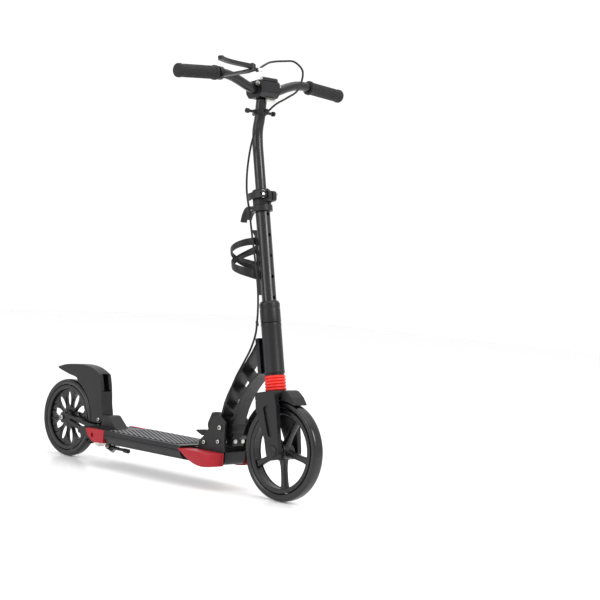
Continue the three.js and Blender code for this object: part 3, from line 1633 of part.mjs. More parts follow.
steering.add(
  piece("head_tube", headTube(), blackPaint),
  piece("lower_bearing", headBearing(3), steel),
  piece("upper_bearing", headBearing(headTubeLength - bearingHeight - 3), steel),
  piece("steering_sleeve", steeringSleeve(), blackPaint),
  piece("lower_stem_tube", lowerStemTube(), blackSatin),
  piece("snap_button", snapButton(), brass),
  piece("clamp_collar", clampCollar(), blackPlastic),
  piece("clamp_skewer", clampSkewer(), steel),
  piece("clamp_lever", clampLever(), blackPlastic),
  piece("fold_hook", foldHook(), blackPlastic),
  piece("bottle_cage", bottleCage(), blackPlastic),
  piece("fork", forkBody(), blackPaint),
  piece("front_axle", frontAxleBolt(), steel),
  piece("front_fender", frontFender(), blackPlastic),
  piece("suspension_bellows", suspensionBellows(), redRubber),
  piece("suspension_spring", suspensionSpring(), steel),
  piece("front_rim", wheelRim(forkOffset, axleHeight, frontWheel), blackSatin),
  piece("front_tyre", tyre(forkOffset, axleHeight, frontWheel), tyreRubber),
  piece("front_bearing", hubBearing(forkOffset, axleHeight, frontWheel, frontAxleRadius), steel),
  piece("upper_stem_tube", upperStemTube(), blackSatin),
  piece("bar_clamp", barClamp(), blackPaint),
  piece("bar_clamp_bolt", barClampBolt(), steel),
  piece("accessory_collar", accessoryCollar(), blackPlastic),
  piece("handlebar", handlebar(), blackSatin),
  piece("grip_right", grip(-1), blackRubber),
  piece("grip_left", grip(1), blackRubber),
  piece("brake_perch", brakePerch(), blackPaint),
  piece("brake_lever", brakeLever(), blackPlastic),
);

export default scooter;
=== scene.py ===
# %% [markdown]
# # A folding kick scooter
# The scooter stands on two wheels on a pale studio floor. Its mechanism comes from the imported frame; this file
# gives each visible piece its finished shape and its finish. Shapes are worked out in millimetres, because the
# object is built to the millimetre, and one function turns them into metres when a mesh is made.

# %% Load the frame
import json
import math

import bmesh
import bpy
import numpy as np
from mathutils import Matrix, Vector


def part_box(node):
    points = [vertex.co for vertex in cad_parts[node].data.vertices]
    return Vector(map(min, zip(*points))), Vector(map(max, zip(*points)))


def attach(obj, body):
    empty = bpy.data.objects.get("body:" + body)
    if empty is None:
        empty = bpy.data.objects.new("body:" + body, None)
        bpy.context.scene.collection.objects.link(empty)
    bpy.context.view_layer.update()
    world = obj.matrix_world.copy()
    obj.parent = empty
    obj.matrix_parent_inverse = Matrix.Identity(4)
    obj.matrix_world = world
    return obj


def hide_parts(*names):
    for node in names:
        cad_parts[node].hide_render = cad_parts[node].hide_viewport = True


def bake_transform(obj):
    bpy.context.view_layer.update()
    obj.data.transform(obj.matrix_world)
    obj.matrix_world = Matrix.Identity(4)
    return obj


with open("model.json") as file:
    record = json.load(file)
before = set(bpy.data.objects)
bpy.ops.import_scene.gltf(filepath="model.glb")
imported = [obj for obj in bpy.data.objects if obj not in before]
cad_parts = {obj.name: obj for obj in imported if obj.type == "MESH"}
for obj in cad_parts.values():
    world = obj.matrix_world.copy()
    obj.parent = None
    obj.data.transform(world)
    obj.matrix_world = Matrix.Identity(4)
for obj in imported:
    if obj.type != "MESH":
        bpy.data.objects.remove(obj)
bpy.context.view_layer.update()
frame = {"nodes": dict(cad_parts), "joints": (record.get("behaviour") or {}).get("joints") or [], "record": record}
MM = 0.001
joints = {joint["name"]: joint for joint in frame["joints"]}

# %% [markdown]
# Much of the scooter is built about the steering axis, which leans back. A point on it is easiest to give as
# how far it is ahead of the axis, to the rider's left of it, and along it from the head tube's lower end.

# %% The steering axis
steering_foot = np.array(joints["steering"]["pos_m"]) / MM
along_axis = np.array(joints["steering"]["axis"], float)
along_axis /= np.linalg.norm(along_axis)
ahead_axis = np.array([along_axis[2], 0.0, -along_axis[0]])
left_axis = np.array([0.0, 1.0, 0.0])
steering_basis = np.stack([ahead_axis, left_axis, along_axis])


def steered(points):
    """Foot of the axis plus ahead, left and along times their three directions."""
    return steering_foot + np.asarray(points, float) @ steering_basis


def about_y(x, z):
    """A place for a shape turned about a line along Y: its own Z becomes Y, through (x, z)."""
    def place(points):
        points = np.asarray(points, float)
        return np.stack([x + points[..., 0], points[..., 2], z + points[..., 1]], axis=-1)
    return place


def box_of(node):
    """A node's lowest and highest corner in millimetres."""
    low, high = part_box(node)
    return np.array(low) / MM, np.array(high) / MM


print("steering foot", steering_foot.round(2), "axis", along_axis.round(4))

# %% [markdown]
# Camera first. It stands low and in front, on the rider's right, far away with a long lens, and is rolled a
# few degrees, so the upright stem leans in the picture.

# %% Camera
camera_azimuth = math.radians(-45.56)
camera_elevation = math.radians(1.74)
camera_roll = math.radians(3.92)
camera_distance = 4.139
camera_target = Vector((0.208, 0.203, 0.455))
towards_camera = Vector((
    math.cos(camera_elevation) * math.cos(camera_azimuth),
    math.cos(camera_elevation) * math.sin(camera_azimuth),
    math.sin(camera_elevation),
))
level_right = (-towards_camera).cross(Vector((0, 0, 1))).normalized()
level_up = level_right.cross(-towards_camera)
right = level_right * math.cos(camera_roll) + level_up * math.sin(camera_roll)
up = level_up * math.cos(camera_roll) - level_right * math.sin(camera_roll)
camera_data = bpy.data.cameras.new("camera")
camera_data.lens = 101.6
camera_data.sensor_width = 36
camera = bpy.data.objects.new("camera", camera_data)
bpy.context.scene.collection.objects.link(camera)
turn = Matrix((right, up, towards_camera)).transposed()
camera.matrix_world = Matrix.Translation(camera_target + towards_camera * camera_distance) @ turn.to_4x4()
bpy.context.scene.camera = camera
print("camera at", [round(c, 3) for c in camera.matrix_world.translation])

# %% [markdown]
# ## Finishes
# Every finish is built from nodes in Object coordinates, which are real metres here, so a grain of 0.4 mm is
# the same on every piece. Two noises do most of the work: a fine one that bumps the surface as powder coat or
# a moulding's spark-eroded texture does, and a broad one that varies the roughness as handling does.

# %% Finish helper
FINE_GRAIN = 2200  # cycles in a metre
BROAD_MOTTLE = 28
GRAIN_HEIGHT = 0.0004


def added(tree, kind, settings=None, **values):
    """A new shader node: its settings first, then its inputs, whose names have underscores for spaces."""
    node = tree.nodes.new("ShaderNode" + kind)
    for name, value in (settings or {}).items():
        setattr(node, name, value)
    for socket, value in values.items():
        node.inputs[socket.replace("_", " ")].default_value = value
    return node


def finish(name, color, roughness, metallic=0.0, grain=0.06, grain_scale=FINE_GRAIN, mottle=0.08, light=1.6,
           specular=0.5):
    """A surface whose colour and roughness drift with a broad noise and whose normal follows a fine noise."""
    material = bpy.data.materials.new(name)
    material.use_nodes = True
    tree = material.node_tree
    link = tree.links.new
    shader = tree.nodes["Principled BSDF"]
    shader.inputs["Metallic"].default_value = metallic
    shader.inputs["Specular IOR Level"].default_value = specular
    place = added(tree, "TexCoord")
    broad = added(tree, "TexNoise", Scale=BROAD_MOTTLE, Detail=6)
    link(place.outputs["Object"], broad.inputs["Vector"])
    drift = added(tree, "MapRange", From_Min=0.3, From_Max=0.7, To_Min=roughness - mottle, To_Max=roughness + mottle)
    link(broad.outputs["Fac"], drift.inputs["Value"])
    link(drift.outputs["Result"], shader.inputs["Roughness"])
    fine = added(tree, "TexNoise", Scale=grain_scale, Detail=3)
    link(place.outputs["Object"], fine.inputs["Vector"])
    lighter = (*[min(1, c * light) for c in color], 1)
    tint = added(tree, "Mix", {"data_type": "RGBA"}, A=(*color, 1), B=lighter)
    mixing = added(tree, "Math", {"operation": "MULTIPLY"})
    link(broad.outputs["Fac"], mixing.inputs[0])
    link(fine.outputs["Fac"], mixing.inputs[1])
    link(mixing.outputs["Value"], tint.inputs["Factor"])
    link(tint.outputs["Result"], shader.inputs["Base Color"])
    bump = added(tree, "Bump", Strength=grain, Distance=GRAIN_HEIGHT)
    link(fine.outputs["Fac"], bump.inputs["Height"])
    link(bump.outputs["Normal"], shader.inputs["Normal"])
    return material


# %% [markdown]
# The scooter has ten finishes. The castings and the deck have a semi-gloss powder coat; the tubes are smoother
# and a little metallic, so that soft lights draw long streaks on them; the mouldings are duller. The red
# caps and the bellows are different reds: one a hard satin plastic, the other a bright soft rubber.

# %% The scooter's finishes
black_paint = finish("black_paint", (0.0035, 0.0035, 0.0045), 0.36, grain=0.25, specular=0.34, light=2.2)
black_satin = finish("black_satin", (0.0045, 0.0045, 0.0055), 0.27, grain=0.012, specular=0.42, light=1.6)
black_plastic = finish("black_plastic", (0.004, 0.004, 0.0045), 0.42, grain=0.4, grain_scale=1500, specular=0.34,
                       light=2.0)
red_plastic = finish("red_plastic", (0.30, 0.006, 0.014), 0.42, grain=0.3, grain_scale=1600, specular=0.3,
                     light=1.25)
red_rubber = finish("red_rubber", (0.62, 0.018, 0.010), 0.38, grain=0.15, specular=0.4, light=1.15)
black_rubber = finish("black_rubber", (0.006, 0.006, 0.0065), 0.55, grain=0.5, grain_scale=900, specular=0.3,
                      light=2.0)
tyre_rubber = finish("tyre", (0.003, 0.003, 0.0035), 0.24, grain=0.05, grain_scale=1400, specular=0.45, light=1.6)
zinc_steel = finish("steel", (0.56, 0.55, 0.52), 0.30, metallic=1.0, grain=0.12, grain_scale=1800, mottle=0.12,
                    light=1.2)
brass = finish("brass", (0.58, 0.40, 0.15), 0.32, metallic=1.0, grain=0.1, light=1.2)
print("finishes:", len([m for m in bpy.data.materials if m.use_nodes]))

# %% [markdown]
# The deck's anti-slip sheet has bright diagonal stripes on a dark ground. The stripes are real ridges in the
# mesh; the finish colours them with the same formula, the distance across the stripes in Object coordinates.

# %% Grip sheet finish
STRIPE_PITCH = 10.4
STRIPE_SLANT = math.radians(31)  # the stripes run forward and to the right
STRIPE_SHARE = 0.30
SHEET_COLOR = (0.006, 0.006, 0.007)
STRIPE_COLOR = (0.40, 0.40, 0.42)


def striped_sheet():
    """Colour from the fraction of the distance across the stripes: below the stripe's share it is grey."""
    material = finish("grip_sheet", SHEET_COLOR, 0.60, grain=0.8, grain_scale=1100, specular=0.3)
    tree = material.node_tree
    link = tree.links.new
    base_color = tree.nodes["Principled BSDF"].inputs["Base Color"]
    place = added(tree, "TexCoord")
    across = added(tree, "VectorMath", {"operation": "DOT_PRODUCT"})
    scale = 1 / (STRIPE_PITCH * MM)
    across.inputs[1].default_value = (math.sin(STRIPE_SLANT) * scale, math.cos(STRIPE_SLANT) * scale, 0)
    link(place.outputs["Object"], across.inputs[0])
    share = added(tree, "Math", {"operation": "FRACT"})
    link(across.outputs["Value"], share.inputs[0])
    wave = added(tree, "Math", {"operation": "PINGPONG"})
    wave.inputs[1].default_value = 0.5
    link(share.outputs["Value"], wave.inputs[0])
    edge = added(tree, "MapRange", {"interpolation_type": "SMOOTHSTEP"}, From_Min=STRIPE_SHARE / 2 - 0.04,
                 From_Max=STRIPE_SHARE / 2 + 0.04, To_Min=1, To_Max=0)
    link(wave.outputs["Value"], edge.inputs["Value"])
    speck = added(tree, "TexNoise", Scale=700)
    link(place.outputs["Object"], speck.inputs["Vector"])
    worn = added(tree, "Math", {"operation": "MULTIPLY"})
    link(edge.outputs["Result"], worn.inputs[0])
    link(speck.outputs["Fac"], worn.inputs[1])
    colour = added(tree, "Mix", {"data_type": "RGBA"}, A=(*SHEET_COLOR, 1), B=(*STRIPE_COLOR, 1))
    link(worn.outputs["Value"], colour.inputs["Factor"])
    for old in list(base_color.links):
        tree.links.remove(old)
    link(colour.outputs["Result"], base_color)
    return material


grip_sheet_finish = striped_sheet()

# %% [markdown]
# ## Shapes
# Nearly every piece is a grid of points: rows along it, columns round it. A grid becomes a closed mesh when its
# columns join round and its first and last row are capped. Lathe shapes are grids too, with a row for each
# profile point.

# %% Grids into meshes


def grid_part(grid, ring=True, loop=False, caps=True):
    """Points and faces of a grid: quads between rows and columns, joined round, with a cap at each open end."""
    rows, columns = grid.shape[:2]
    index = np.arange(rows * columns).reshape(rows, columns)
    down = np.concatenate([index, index[:1]]) if loop else index
    across = np.concatenate([down, down[:, :1]], axis=1) if ring else down
    quads = np.stack([across[:-1, :-1], across[:-1, 1:], across[1:, 1:], across[1:, :-1]], axis=-1).reshape(-1, 4)
    faces = quads.tolist()
    if caps and not loop:
        faces += [index[0][::-1].tolist(), index[-1].tolist()]
    return grid.reshape(-1, 3), faces


def angles(count, turn=2 * math.pi):
    """Evenly spaced angles, without the last one, which would repeat the first."""
    return np.linspace(0, turn, count, endpoint=False)


def lathe(profile, segments=64, place=steered):
    """Each profile point (radius, along) becomes a ring: radius times cosine and sine, and along."""
    profile = np.asarray(profile, float)
    turn = angles(segments)
    ring = np.stack([np.cos(turn), np.sin(turn)], axis=-1)
    flat = profile[:, None, :1] * ring[None]
    tall = np.broadcast_to(profile[:, None, 1:], (*flat.shape[:2], 1))
    closed = profile[0, 0] > 0.01
    return grid_part(place(np.concatenate([flat, tall], axis=-1)), loop=closed, caps=not closed)


def smooth_path(points, count):
    """A curve through the points: cubic pieces whose slopes are the central differences along the route."""
    points = np.asarray(points, float)
    steps = np.linalg.norm(np.diff(points, axis=0), axis=1) ** 0.5
    at = np.concatenate([[0], np.cumsum(steps)])
    slope = np.gradient(points, at, axis=0)
    where = np.linspace(0, at[-1], count)
    i = np.clip(np.searchsorted(at, where, side="right") - 1, 0, len(steps) - 1)
    h = steps[i][:, None]
    t = ((where - at[i])[:, None]) / h
    return (
        points[i] * (2 * t**3 - 3 * t**2 + 1)
        + points[i + 1] * (3 * t**2 - 2 * t**3)
        + slope[i] * h * (t**3 - 2 * t**2 + t)
        + slope[i + 1] * h * (t**3 - t**2)
    )


def carried(section, path, beside=(0, 1, 0)):
    """A section's (across, out) points stand square to the path: across lies along beside, as near as it can."""
    path = np.asarray(path, float)
    along = np.gradient(path, axis=0)
    along /= np.linalg.norm(along, axis=1, keepdims=True)
    out = np.cross(along, np.asarray(beside, float))
    out /= np.linalg.norm(out, axis=1, keepdims=True)
    across = np.cross(out, along)
    section = np.asarray(section, float)
    if section.ndim == 2:
        section = np.broadcast_to(section, (len(path), *section.shape))
    return path[:, None] + section[..., :1] * across[:, None] + section[..., 1:] * out[:, None]


def circle(radius, sides=24):
    """Cosine and sine of even angles, times the radius."""
    turn = angles(sides)
    return np.stack([np.cos(turn), np.sin(turn)], axis=-1) * radius


def superellipse(half_width, half_height, power=0.5, sides=32):
    """Cosine and sine raised to a power below one, which squares the corners of an ellipse."""
    turn = angles(sides)
    wave = np.stack([np.cos(turn), np.sin(turn)], axis=-1)
    return np.sign(wave) * np.abs(wave) ** power * np.array([half_width, half_height])


def rounded(corners, steps=6):
    """A closed outline: each (x, y, radius) corner is replaced by a curve that leaves both sides smoothly."""
    outline = []
    spots = [np.array(corner[:2], float) for corner in corners]
    for i, corner in enumerate(corners):
        here = spots[i]
        before, after = spots[i - 1] - here, spots[(i + 1) % len(spots)] - here
        radius = corner[2] if len(corner) > 2 else 0
        cosine = np.dot(before, after) / (np.linalg.norm(before) * np.linalg.norm(after))
        half = math.acos(max(-1, min(1, cosine))) / 2
        reach = min(radius / math.tan(half), np.linalg.norm(before) / 2, np.linalg.norm(after) / 2) if radius else 0
        if reach < 0.01:
            outline.append(here[None])
            continue
        start = here + before / np.linalg.norm(before) * reach
        end = here + after / np.linalg.norm(after) * reach
        t = np.linspace(0, 1, steps)[:, None]
        outline.append(start * (1 - t) ** 2 + here * 2 * t * (1 - t) + end * t**2)
    return np.concatenate(outline)


def slab(outline, low, high, place=None):
    """An outline in X and Z made solid from one Y to another."""
    outline = np.asarray(outline, float)
    sides = [np.stack([outline[:, 0], np.full(len(outline), y), outline[:, 1]], axis=-1) for y in (low, high)]
    grid = np.stack(sides)
    return grid_part(place(grid) if place else grid)


# %% [markdown]
# One function makes every piece, so that each is treated alike: it merges doubled points, turns the faces
# outwards, rounds the edges with a Bevel modifier if a width is given, shades it smooth, and lets it ride.


def closed_mesh(name, points, faces):
    """A mesh in metres with its doubles merged and its faces outwards."""
    mesh = bpy.data.meshes.new(name)
    mesh.from_pydata((np.asarray(points) * MM).tolist(), [], faces)
    work = bmesh.new()
    work.from_mesh(mesh)
    bmesh.ops.remove_doubles(work, verts=work.verts, dist=0.01 * MM)
    bmesh.ops.recalc_face_normals(work, faces=work.faces)
    work.to_mesh(mesh)
    work.free()
    return mesh


def finished(obj, material, body, replaced=(), bevel=0.0, sharp=40):
    """Material, shading, edge rounding and the body that the piece moves with."""
    mesh = obj.data
    mesh.materials.clear()
    mesh.materials.append(material)
    mesh.shade_smooth()
    if bevel:
        rounding = obj.modifiers.new("edges", "BEVEL")
        rounding.width = bevel * MM
        rounding.segments = 2
        rounding.limit_method = "ANGLE"
        rounding.angle_limit = math.radians(sharp)
        weighted = obj.modifiers.new("flats", "WEIGHTED_NORMAL")
        weighted.keep_sharp = False
    else:
        mesh.set_sharp_from_angle(angle=math.radians(sharp))
    if obj.name not in bpy.context.scene.collection.objects:
        bpy.context.scene.collection.objects.link(obj)
    if replaced:
        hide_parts(*replaced)
    if isinstance(body, str):
        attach(obj, body)
    else:
        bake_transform(obj)
    return obj


def piece(name, parts, material, body, replaced=(), bevel=0.0, sharp=40):
    """One object from several parts, each a pair of points and faces."""
    parts = parts if isinstance(parts, list) else [parts]
    points, faces, start = [], [], 0
    for part_points, part_faces in parts:
        points.append(part_points)
        faces += [[start + i for i in face] for face in part_faces]
        start += len(part_points)
    obj = bpy.data.objects.new(name, closed_mesh(name, np.concatenate(points), faces))
    finished(obj, material, body, replaced, bevel, sharp)
    print(name, len(obj.data.polygons), "faces")
    return obj


# %% [markdown]
# Pockets, slots and holes are cut with a Boolean modifier, which takes a helper shape out of a piece. It is applied
# at once and the helper is removed, because the helper isn't part of the scooter.

# %% Cutting with helper shapes


def applied(obj):
    """Replaces an object's mesh with the one that its modifiers give, and removes them."""
    graph = bpy.context.evaluated_depsgraph_get()
    obj.data = bpy.data.meshes.new_from_object(obj.evaluated_get(graph))
    obj.modifiers.clear()


def loose_object(name, part):
    """A helper object that is cut with or cut from and isn't part of the scooter."""
    obj = bpy.data.objects.new(name, closed_mesh(name, *part))
    bpy.context.scene.collection.objects.link(obj)
    return obj


def cut_by(obj, part):
    """Takes a helper shape out of an object with a Boolean modifier, which is then applied."""
    cutter = loose_object("cutter", part)
    cutting = obj.modifiers.new("cut", "BOOLEAN")
    cutting.object = cutter
    cutting.solver = "EXACT"
    bpy.context.view_layer.update()
    applied(obj)
    bpy.data.objects.remove(cutter)


# %% [markdown]
# Castings, plates and brackets already have their right shape in the frame, but with knife edges. A copy of
# such a node is merged, its flats are joined into single faces, and a small bevel gives it the rounded edge
# that tumbling and paint leave. The bevel is what catches the light along each edge.

# %% Rounding a machined node


def softened(node, material, body, bevel=0.7, sharp=34):
    """A merged copy of a CAD node with rounded edges, which stands for it."""
    mesh = frame["nodes"][node].data.copy()
    work = bmesh.new()
    work.from_mesh(mesh)
    bmesh.ops.remove_doubles(work, verts=work.verts, dist=0.02 * MM)
    flat = math.radians(1.5)
    bmesh.ops.dissolve_limit(work, angle_limit=flat, verts=work.verts, edges=work.edges)
    work.to_mesh(mesh)
    work.free()
    obj = bpy.data.objects.new(node + "_finished", mesh)
    return finished(obj, material, body, [node], bevel, sharp)


body_of_node = {node: body for body, nodes in frame["record"]["behaviour"]["bodies"].items() for node in nodes}
castings = {
    "fold_base": 1.2, "fold_plate_right": 0.8, "fold_plate_left": 0.8, "rear_block": 1.6,
    "dropout_right": 0.9, "dropout_left": 0.9, "neck_frame": 1.0, "fork": 1.6, "bar_clamp": 2.0,
    "brake_perch": 0.9,
}
for node, width in castings.items():
    softened(node, black_paint, body_of_node[node], width)
mouldings = {
    "fold_pedal": 1.4, "clamp_collar": 1.2, "clamp_lever": 1.2, "fold_hook": 0.9,
    "front_fender": 0.8, "accessory_collar": 0.8, "brake_lever": 1.8,
}
for node, width in mouldings.items():
    softened(node, black_plastic, body_of_node[node], width)
for node in ("kickstand_bracket", "brake_bracket", "brake_arm"):
    softened(node, zinc_steel, body_of_node[node], 0.5)
softened("brake_shoe", black_rubber, "brake_arm", 0.8)
softened("kickstand_leg", black_paint, "kickstand", 0.6)
print("softened", len(castings) + len(mouldings) + 5, "nodes")

# %% [markdown]
# ## Wheels
# A cast urethane tyre on a moulded rim. The tyre's section is a squared ellipse, rounder than the CAD solid and
# inside it, with a shallow groove round each side. The rim is a band, a hub and spokes that swell into both.

# %% Tyres
FRONT_TYRE_DEPTH = 18
REAR_TYRE_DEPTH = 16


def wheel_place(node):
    """A wheel's middle, radius and half width, from its tyre's box."""
    low, high = box_of(node)
    return (low[0] + high[0]) / 2, (low[2] + high[2]) / 2, (high[2] - low[2]) / 2, (high[1] - low[1]) / 2


def tyre(name, node, body, depth):
    """The tyre's section: half width times cosine to a power, and middle radius plus half depth times sine."""
    x, z, radius, half = wheel_place(node)
    section = superellipse(half, depth / 2, 0.62, 44)
    section[:, 1] = np.where(section[:, 1] > 0, section[:, 1], section[:, 1] * 0.98) + radius - depth / 2
    groove = np.exp(-((section[:, 1] - (radius - depth + 4.5)) / 0.9) ** 2)
    section[:, 0] *= 1 - 0.045 * groove
    return piece(name, lathe(section[:, ::-1], 128, about_y(x, z)), tyre_rubber, body, [node], sharp=60)


tyre("front_tyre_finished", "front_tyre", "front_wheel", FRONT_TYRE_DEPTH)
tyre("rear_tyre_finished", "rear_tyre", "rear_wheel", REAR_TYRE_DEPTH)

# %% Rims
RIM_GAP = 0.3  # between the rim and the tyre
BEARING_RADIUS = 11.6


def rim_band(x, z, inner, outer, half):
    """A ring whose inner face is dished: thin in the middle, thick at its two lips."""
    outline = rounded([
        (inner + 2.5, -half, 1.5), (outer, -half, 0.8), (outer, half, 0.8), (inner + 2.5, half, 1.5),
        (inner, half - 2.5, 1.5), (inner + 2.2, half - 5, 2), (inner + 2.2, -half + 5, 2), (inner, -half + 2.5, 1.5),
    ], 4)
    return lathe(outline, 128, about_y(x, z))


def hub(x, z, radius, half, bore):
    """A boss with a raised collar round its bearing."""
    outline = rounded([
        (bore, -half, 0.6), (bore + 4, -half, 0.6), (bore + 4.5, -half + 2.5, 0.6), (radius - 1, -half + 3, 1),
        (radius, -half + 6, 2), (radius, half - 6, 2), (radius - 1, half - 3, 1), (bore + 4.5, half - 2.5, 0.6),
        (bore + 4, half, 0.6), (bore, half, 0.6),
    ], 3)
    return lathe(outline, 64, about_y(x, z))


def spoke(x, z, angle, start, end, widths, depths):
    """Squared-ellipse sections along a radius; half width and half depth swell towards the hub and the band."""
    share = np.linspace(0, 1, 18)
    swell = np.abs(2 * share - 1) ** 3
    half_width = widths[1] + (np.where(share < 0.5, widths[0], widths[2]) - widths[1]) * swell
    half_depth = depths[1] + (np.where(share < 0.5, depths[0], depths[2]) - depths[1]) * swell
    unit = superellipse(1, 1, 0.55, 28)
    waist = 1 - 0.16 * np.exp(-(unit[:, 0] / 0.45) ** 2)  # a shallow channel down each face
    section = unit[None] * np.stack([half_width, half_depth], axis=-1)[:, None]
    section[..., 1] *= waist
    reach = start + (end - start) * share
    along = np.array([math.cos(angle), math.sin(angle)])
    side = np.array([-along[1], along[0]])
    flat = reach[:, None, None] * along + section[..., :1] * side
    points = np.stack([x + flat[..., 0], section[..., 1], z + flat[..., 1]], axis=-1)
    return grid_part(points)


def front_rim():
    """Five broad spokes."""
    x, z, radius, _ = wheel_place("front_tyre")
    outer, inner = radius - FRONT_TYRE_DEPTH - RIM_GAP, radius - 30
    parts = [rim_band(x, z, inner, outer, 13), hub(x, z, 21, 20, BEARING_RADIUS)]
    for k in range(5):
        angle = math.radians(63 + 72 * k)
        parts.append(spoke(x, z, angle, 14, inner + 2, (11, 6.6, 10), (12, 7.5, 9)))
    return piece("front_rim_finished", parts, black_satin, "front_wheel", ["front_rim"], sharp=35)


front_rim()

# %% [markdown]
# The rear rim is a plate with ten long oval windows. Between two windows the plate reads as a spoke. It is
# easiest to make spoke by spoke: each is as wide as its share of the circle, less the window's width there.

# %% Rear rim
WINDOWS = 10
WINDOW_MIDDLE = 48  # out from the axle
WINDOW_HALF_LENGTH = 22
WINDOW_HALF_WIDTH = 10.5
PLATE_HALF_DEPTH = 5.2


def windowed_sector(x, z, angle, count, inner, outer, middle, half_length, half_window, half_depth):
    """Half of a sector's width is radius times half its angle, less the oval window's half width there."""
    reach = np.concatenate([
        np.linspace(inner, middle - half_length, 4)[:-1],
        middle - half_length * np.cos(np.linspace(0, math.pi, 25)),
        np.linspace(middle + half_length, outer, 4)[1:],
    ])
    oval = half_window * np.sqrt(np.clip(1 - ((reach - middle) / half_length) ** 2, 0, 1))
    turn = math.pi / count - np.arcsin(np.clip(oval / reach, 0, 1))
    share = np.array([-1, -0.86, -0.5, -0.2, 0, 0.2, 0.5, 0.86, 1])
    lift = np.array([0.8, 1, 1, 1, 1.28, 1, 1, 1, 0.8])  # a rib down the middle and softened edges
    spread = angle + turn[:, None] * share
    face = np.broadcast_to(half_depth * lift, spread.shape)
    near = np.stack([x + reach[:, None] * np.cos(spread), -face, z + reach[:, None] * np.sin(spread)], axis=-1)
    far = near * np.array([1, -1, 1])
    return grid_part(np.concatenate([near, far[:, ::-1]], axis=1))


def rear_rim():
    """Ten windows between the hub and the band."""
    x, z, radius, _ = wheel_place("rear_tyre")
    outer, inner = radius - REAR_TYRE_DEPTH - RIM_GAP, radius - 27
    parts = [rim_band(x, z, inner, outer, 12), hub(x, z, 19, 17, BEARING_RADIUS)]
    for k in range(WINDOWS):
        angle = math.radians(9 + 36 * k)
        parts.append(windowed_sector(x, z, angle, WINDOWS, 15, inner + 2, WINDOW_MIDDLE, WINDOW_HALF_LENGTH,
                                     WINDOW_HALF_WIDTH, PLATE_HALF_DEPTH))
    return piece("rear_rim_finished", parts, black_satin, "rear_wheel", ["rear_rim"], sharp=35)


rear_rim()

# %% [markdown]
# Behind the board, each corner has a short red cap with a round pocket, in front of a black filler. The foot
# brake is a claw that leans over the wheel, with a slot through its front. A Boolean cuts pocket and slot.

# %% Rear caps


def rear_cap(side):
    """A slanted outline made solid near the deck's side, and a filler towards the middle."""
    name = "rear_cap_left" if side > 0 else "rear_cap_right"
    low, high = box_of(name)
    outer, inner = max(abs(low[1]), abs(high[1])), min(abs(low[1]), abs(high[1]))
    front, top = high[0], high[2] - 2
    shape = rounded([
        (front, top, 1), (front - 73, top, 3), (front - 64, top - 17, 8), (front - 41, low[2] + 2, 10),
        (front - 1, low[2] + 4, 2),
    ])
    cap = loose_object(name + "_finished", slab(shape, side * (outer - 11), side * outer))
    pocket = about_y(front - 45, (low[2] + top) / 2 + 2)(
        np.stack([np.append(circle(5.2, 24), np.full((24, 1), side * y), axis=1) for y in (outer - 5, outer + 5)]))
    cut_by(cap, grid_part(pocket))
    finished(cap, red_plastic, "deck", [name], 1.6)
    filler = rounded([
        (front, top - 0.6, 1), (low[0] + 4, top - 2, 6), (low[0] + 1, low[2] + 18, 8), (front - 60, low[2] + 4, 10),
        (front, low[2] + 3, 2),
    ])
    return piece(name + "_filler", slab(filler, side * inner, side * (outer - 11.2)), black_paint, "deck", bevel=1.2)


for side in (-1, 1):
    rear_cap(side)

# %% Foot brake
CLAW_CLEARANCE = 6  # round the tyre
SLOT_HALF = 8


def foot_brake():
    """The claw's outline is a smooth curve over the top and an arc about the axle underneath."""
    low, high = box_of("rear_fender")
    x, z, radius, _ = wheel_place("rear_tyre")
    arc = radius + CLAW_CLEARANCE
    turn = np.radians([2, 16, 30, 44, 58, 66])
    under = np.stack([x + arc * np.cos(turn), z + arc * np.sin(turn)], axis=-1)
    shape = np.concatenate([
        smooth_path([(-293, 99), (-280, 100), (-262, 100), (-253, 106), (-250, 120), (-256, 150), (-259, 175),
                     (-263, 200), (-269, 222)], 40),
        smooth_path([(-271, 225), (-288, 233), (-311, 240), (-337, 243), (-362, 243), (-388, 241), (-413, 238),
                     (low[0] + 2, 230)], 60),
        smooth_path([(low[0], 226), (low[0] + 8, 223), (-397, 213), (-366, 206.5), *under[::-1]], 60)])
    claw = loose_object("rear_fender_finished", slab(shape, -high[1], high[1]))
    slot = rounded([(-310, 228, 4), (-296, 190, 8), (-240, 180, 2), (-240, 222, 2)])
    cut_by(claw, slab(slot, -SLOT_HALF, SLOT_HALF))
    return finished(claw, black_plastic, "rear_fender", ["rear_fender"], 1.8)


print("foot brake", len(foot_brake().data.polygons), "faces")


# %% [markdown]
# ## Deck
# The board is an aluminium extrusion: flat on top, straight-sided for a third of its height, then curving in
# underneath, with one fine groove along each side. Its section is carried from end to end.

# %% Deck board


def deck_board():
    """The section goes down the left side, under the board and up the right side; two end pairs carry it."""
    low, high = box_of("deck_board")
    half, bottom, top = high[1], low[2], high[2]
    groove = top - 11
    section = rounded([
        (half - 0.2, top, 2.6), (half - 0.2, groove + 0.9), (half - 1.1, groove + 0.3), (half - 1.1, groove - 0.3),
        (half - 0.2, groove - 0.9), (half - 0.2, bottom + 15, 12), (half - 13, bottom, 8),
        (-half + 13, bottom, 8), (-half + 0.2, bottom + 15, 12), (-half + 0.2, groove - 0.9),
        (-half + 1.1, groove - 0.3), (-half + 1.1, groove + 0.3), (-half + 0.2, groove + 0.9),
        (-half + 0.2, top, 2.6),
    ], 7)
    stations = np.array([low[0], low[0] + 1, high[0] - 1, high[0]])
    grid = np.stack([
        np.broadcast_to(stations[:, None], (4, len(section))),
        np.broadcast_to(section[:, 0], (4, len(section))),
        np.broadcast_to(section[:, 1], (4, len(section))),
    ], axis=-1)
    return piece("deck_board_finished", grid_part(grid), black_paint, "deck", ["deck_board"], sharp=28)


deck_board()

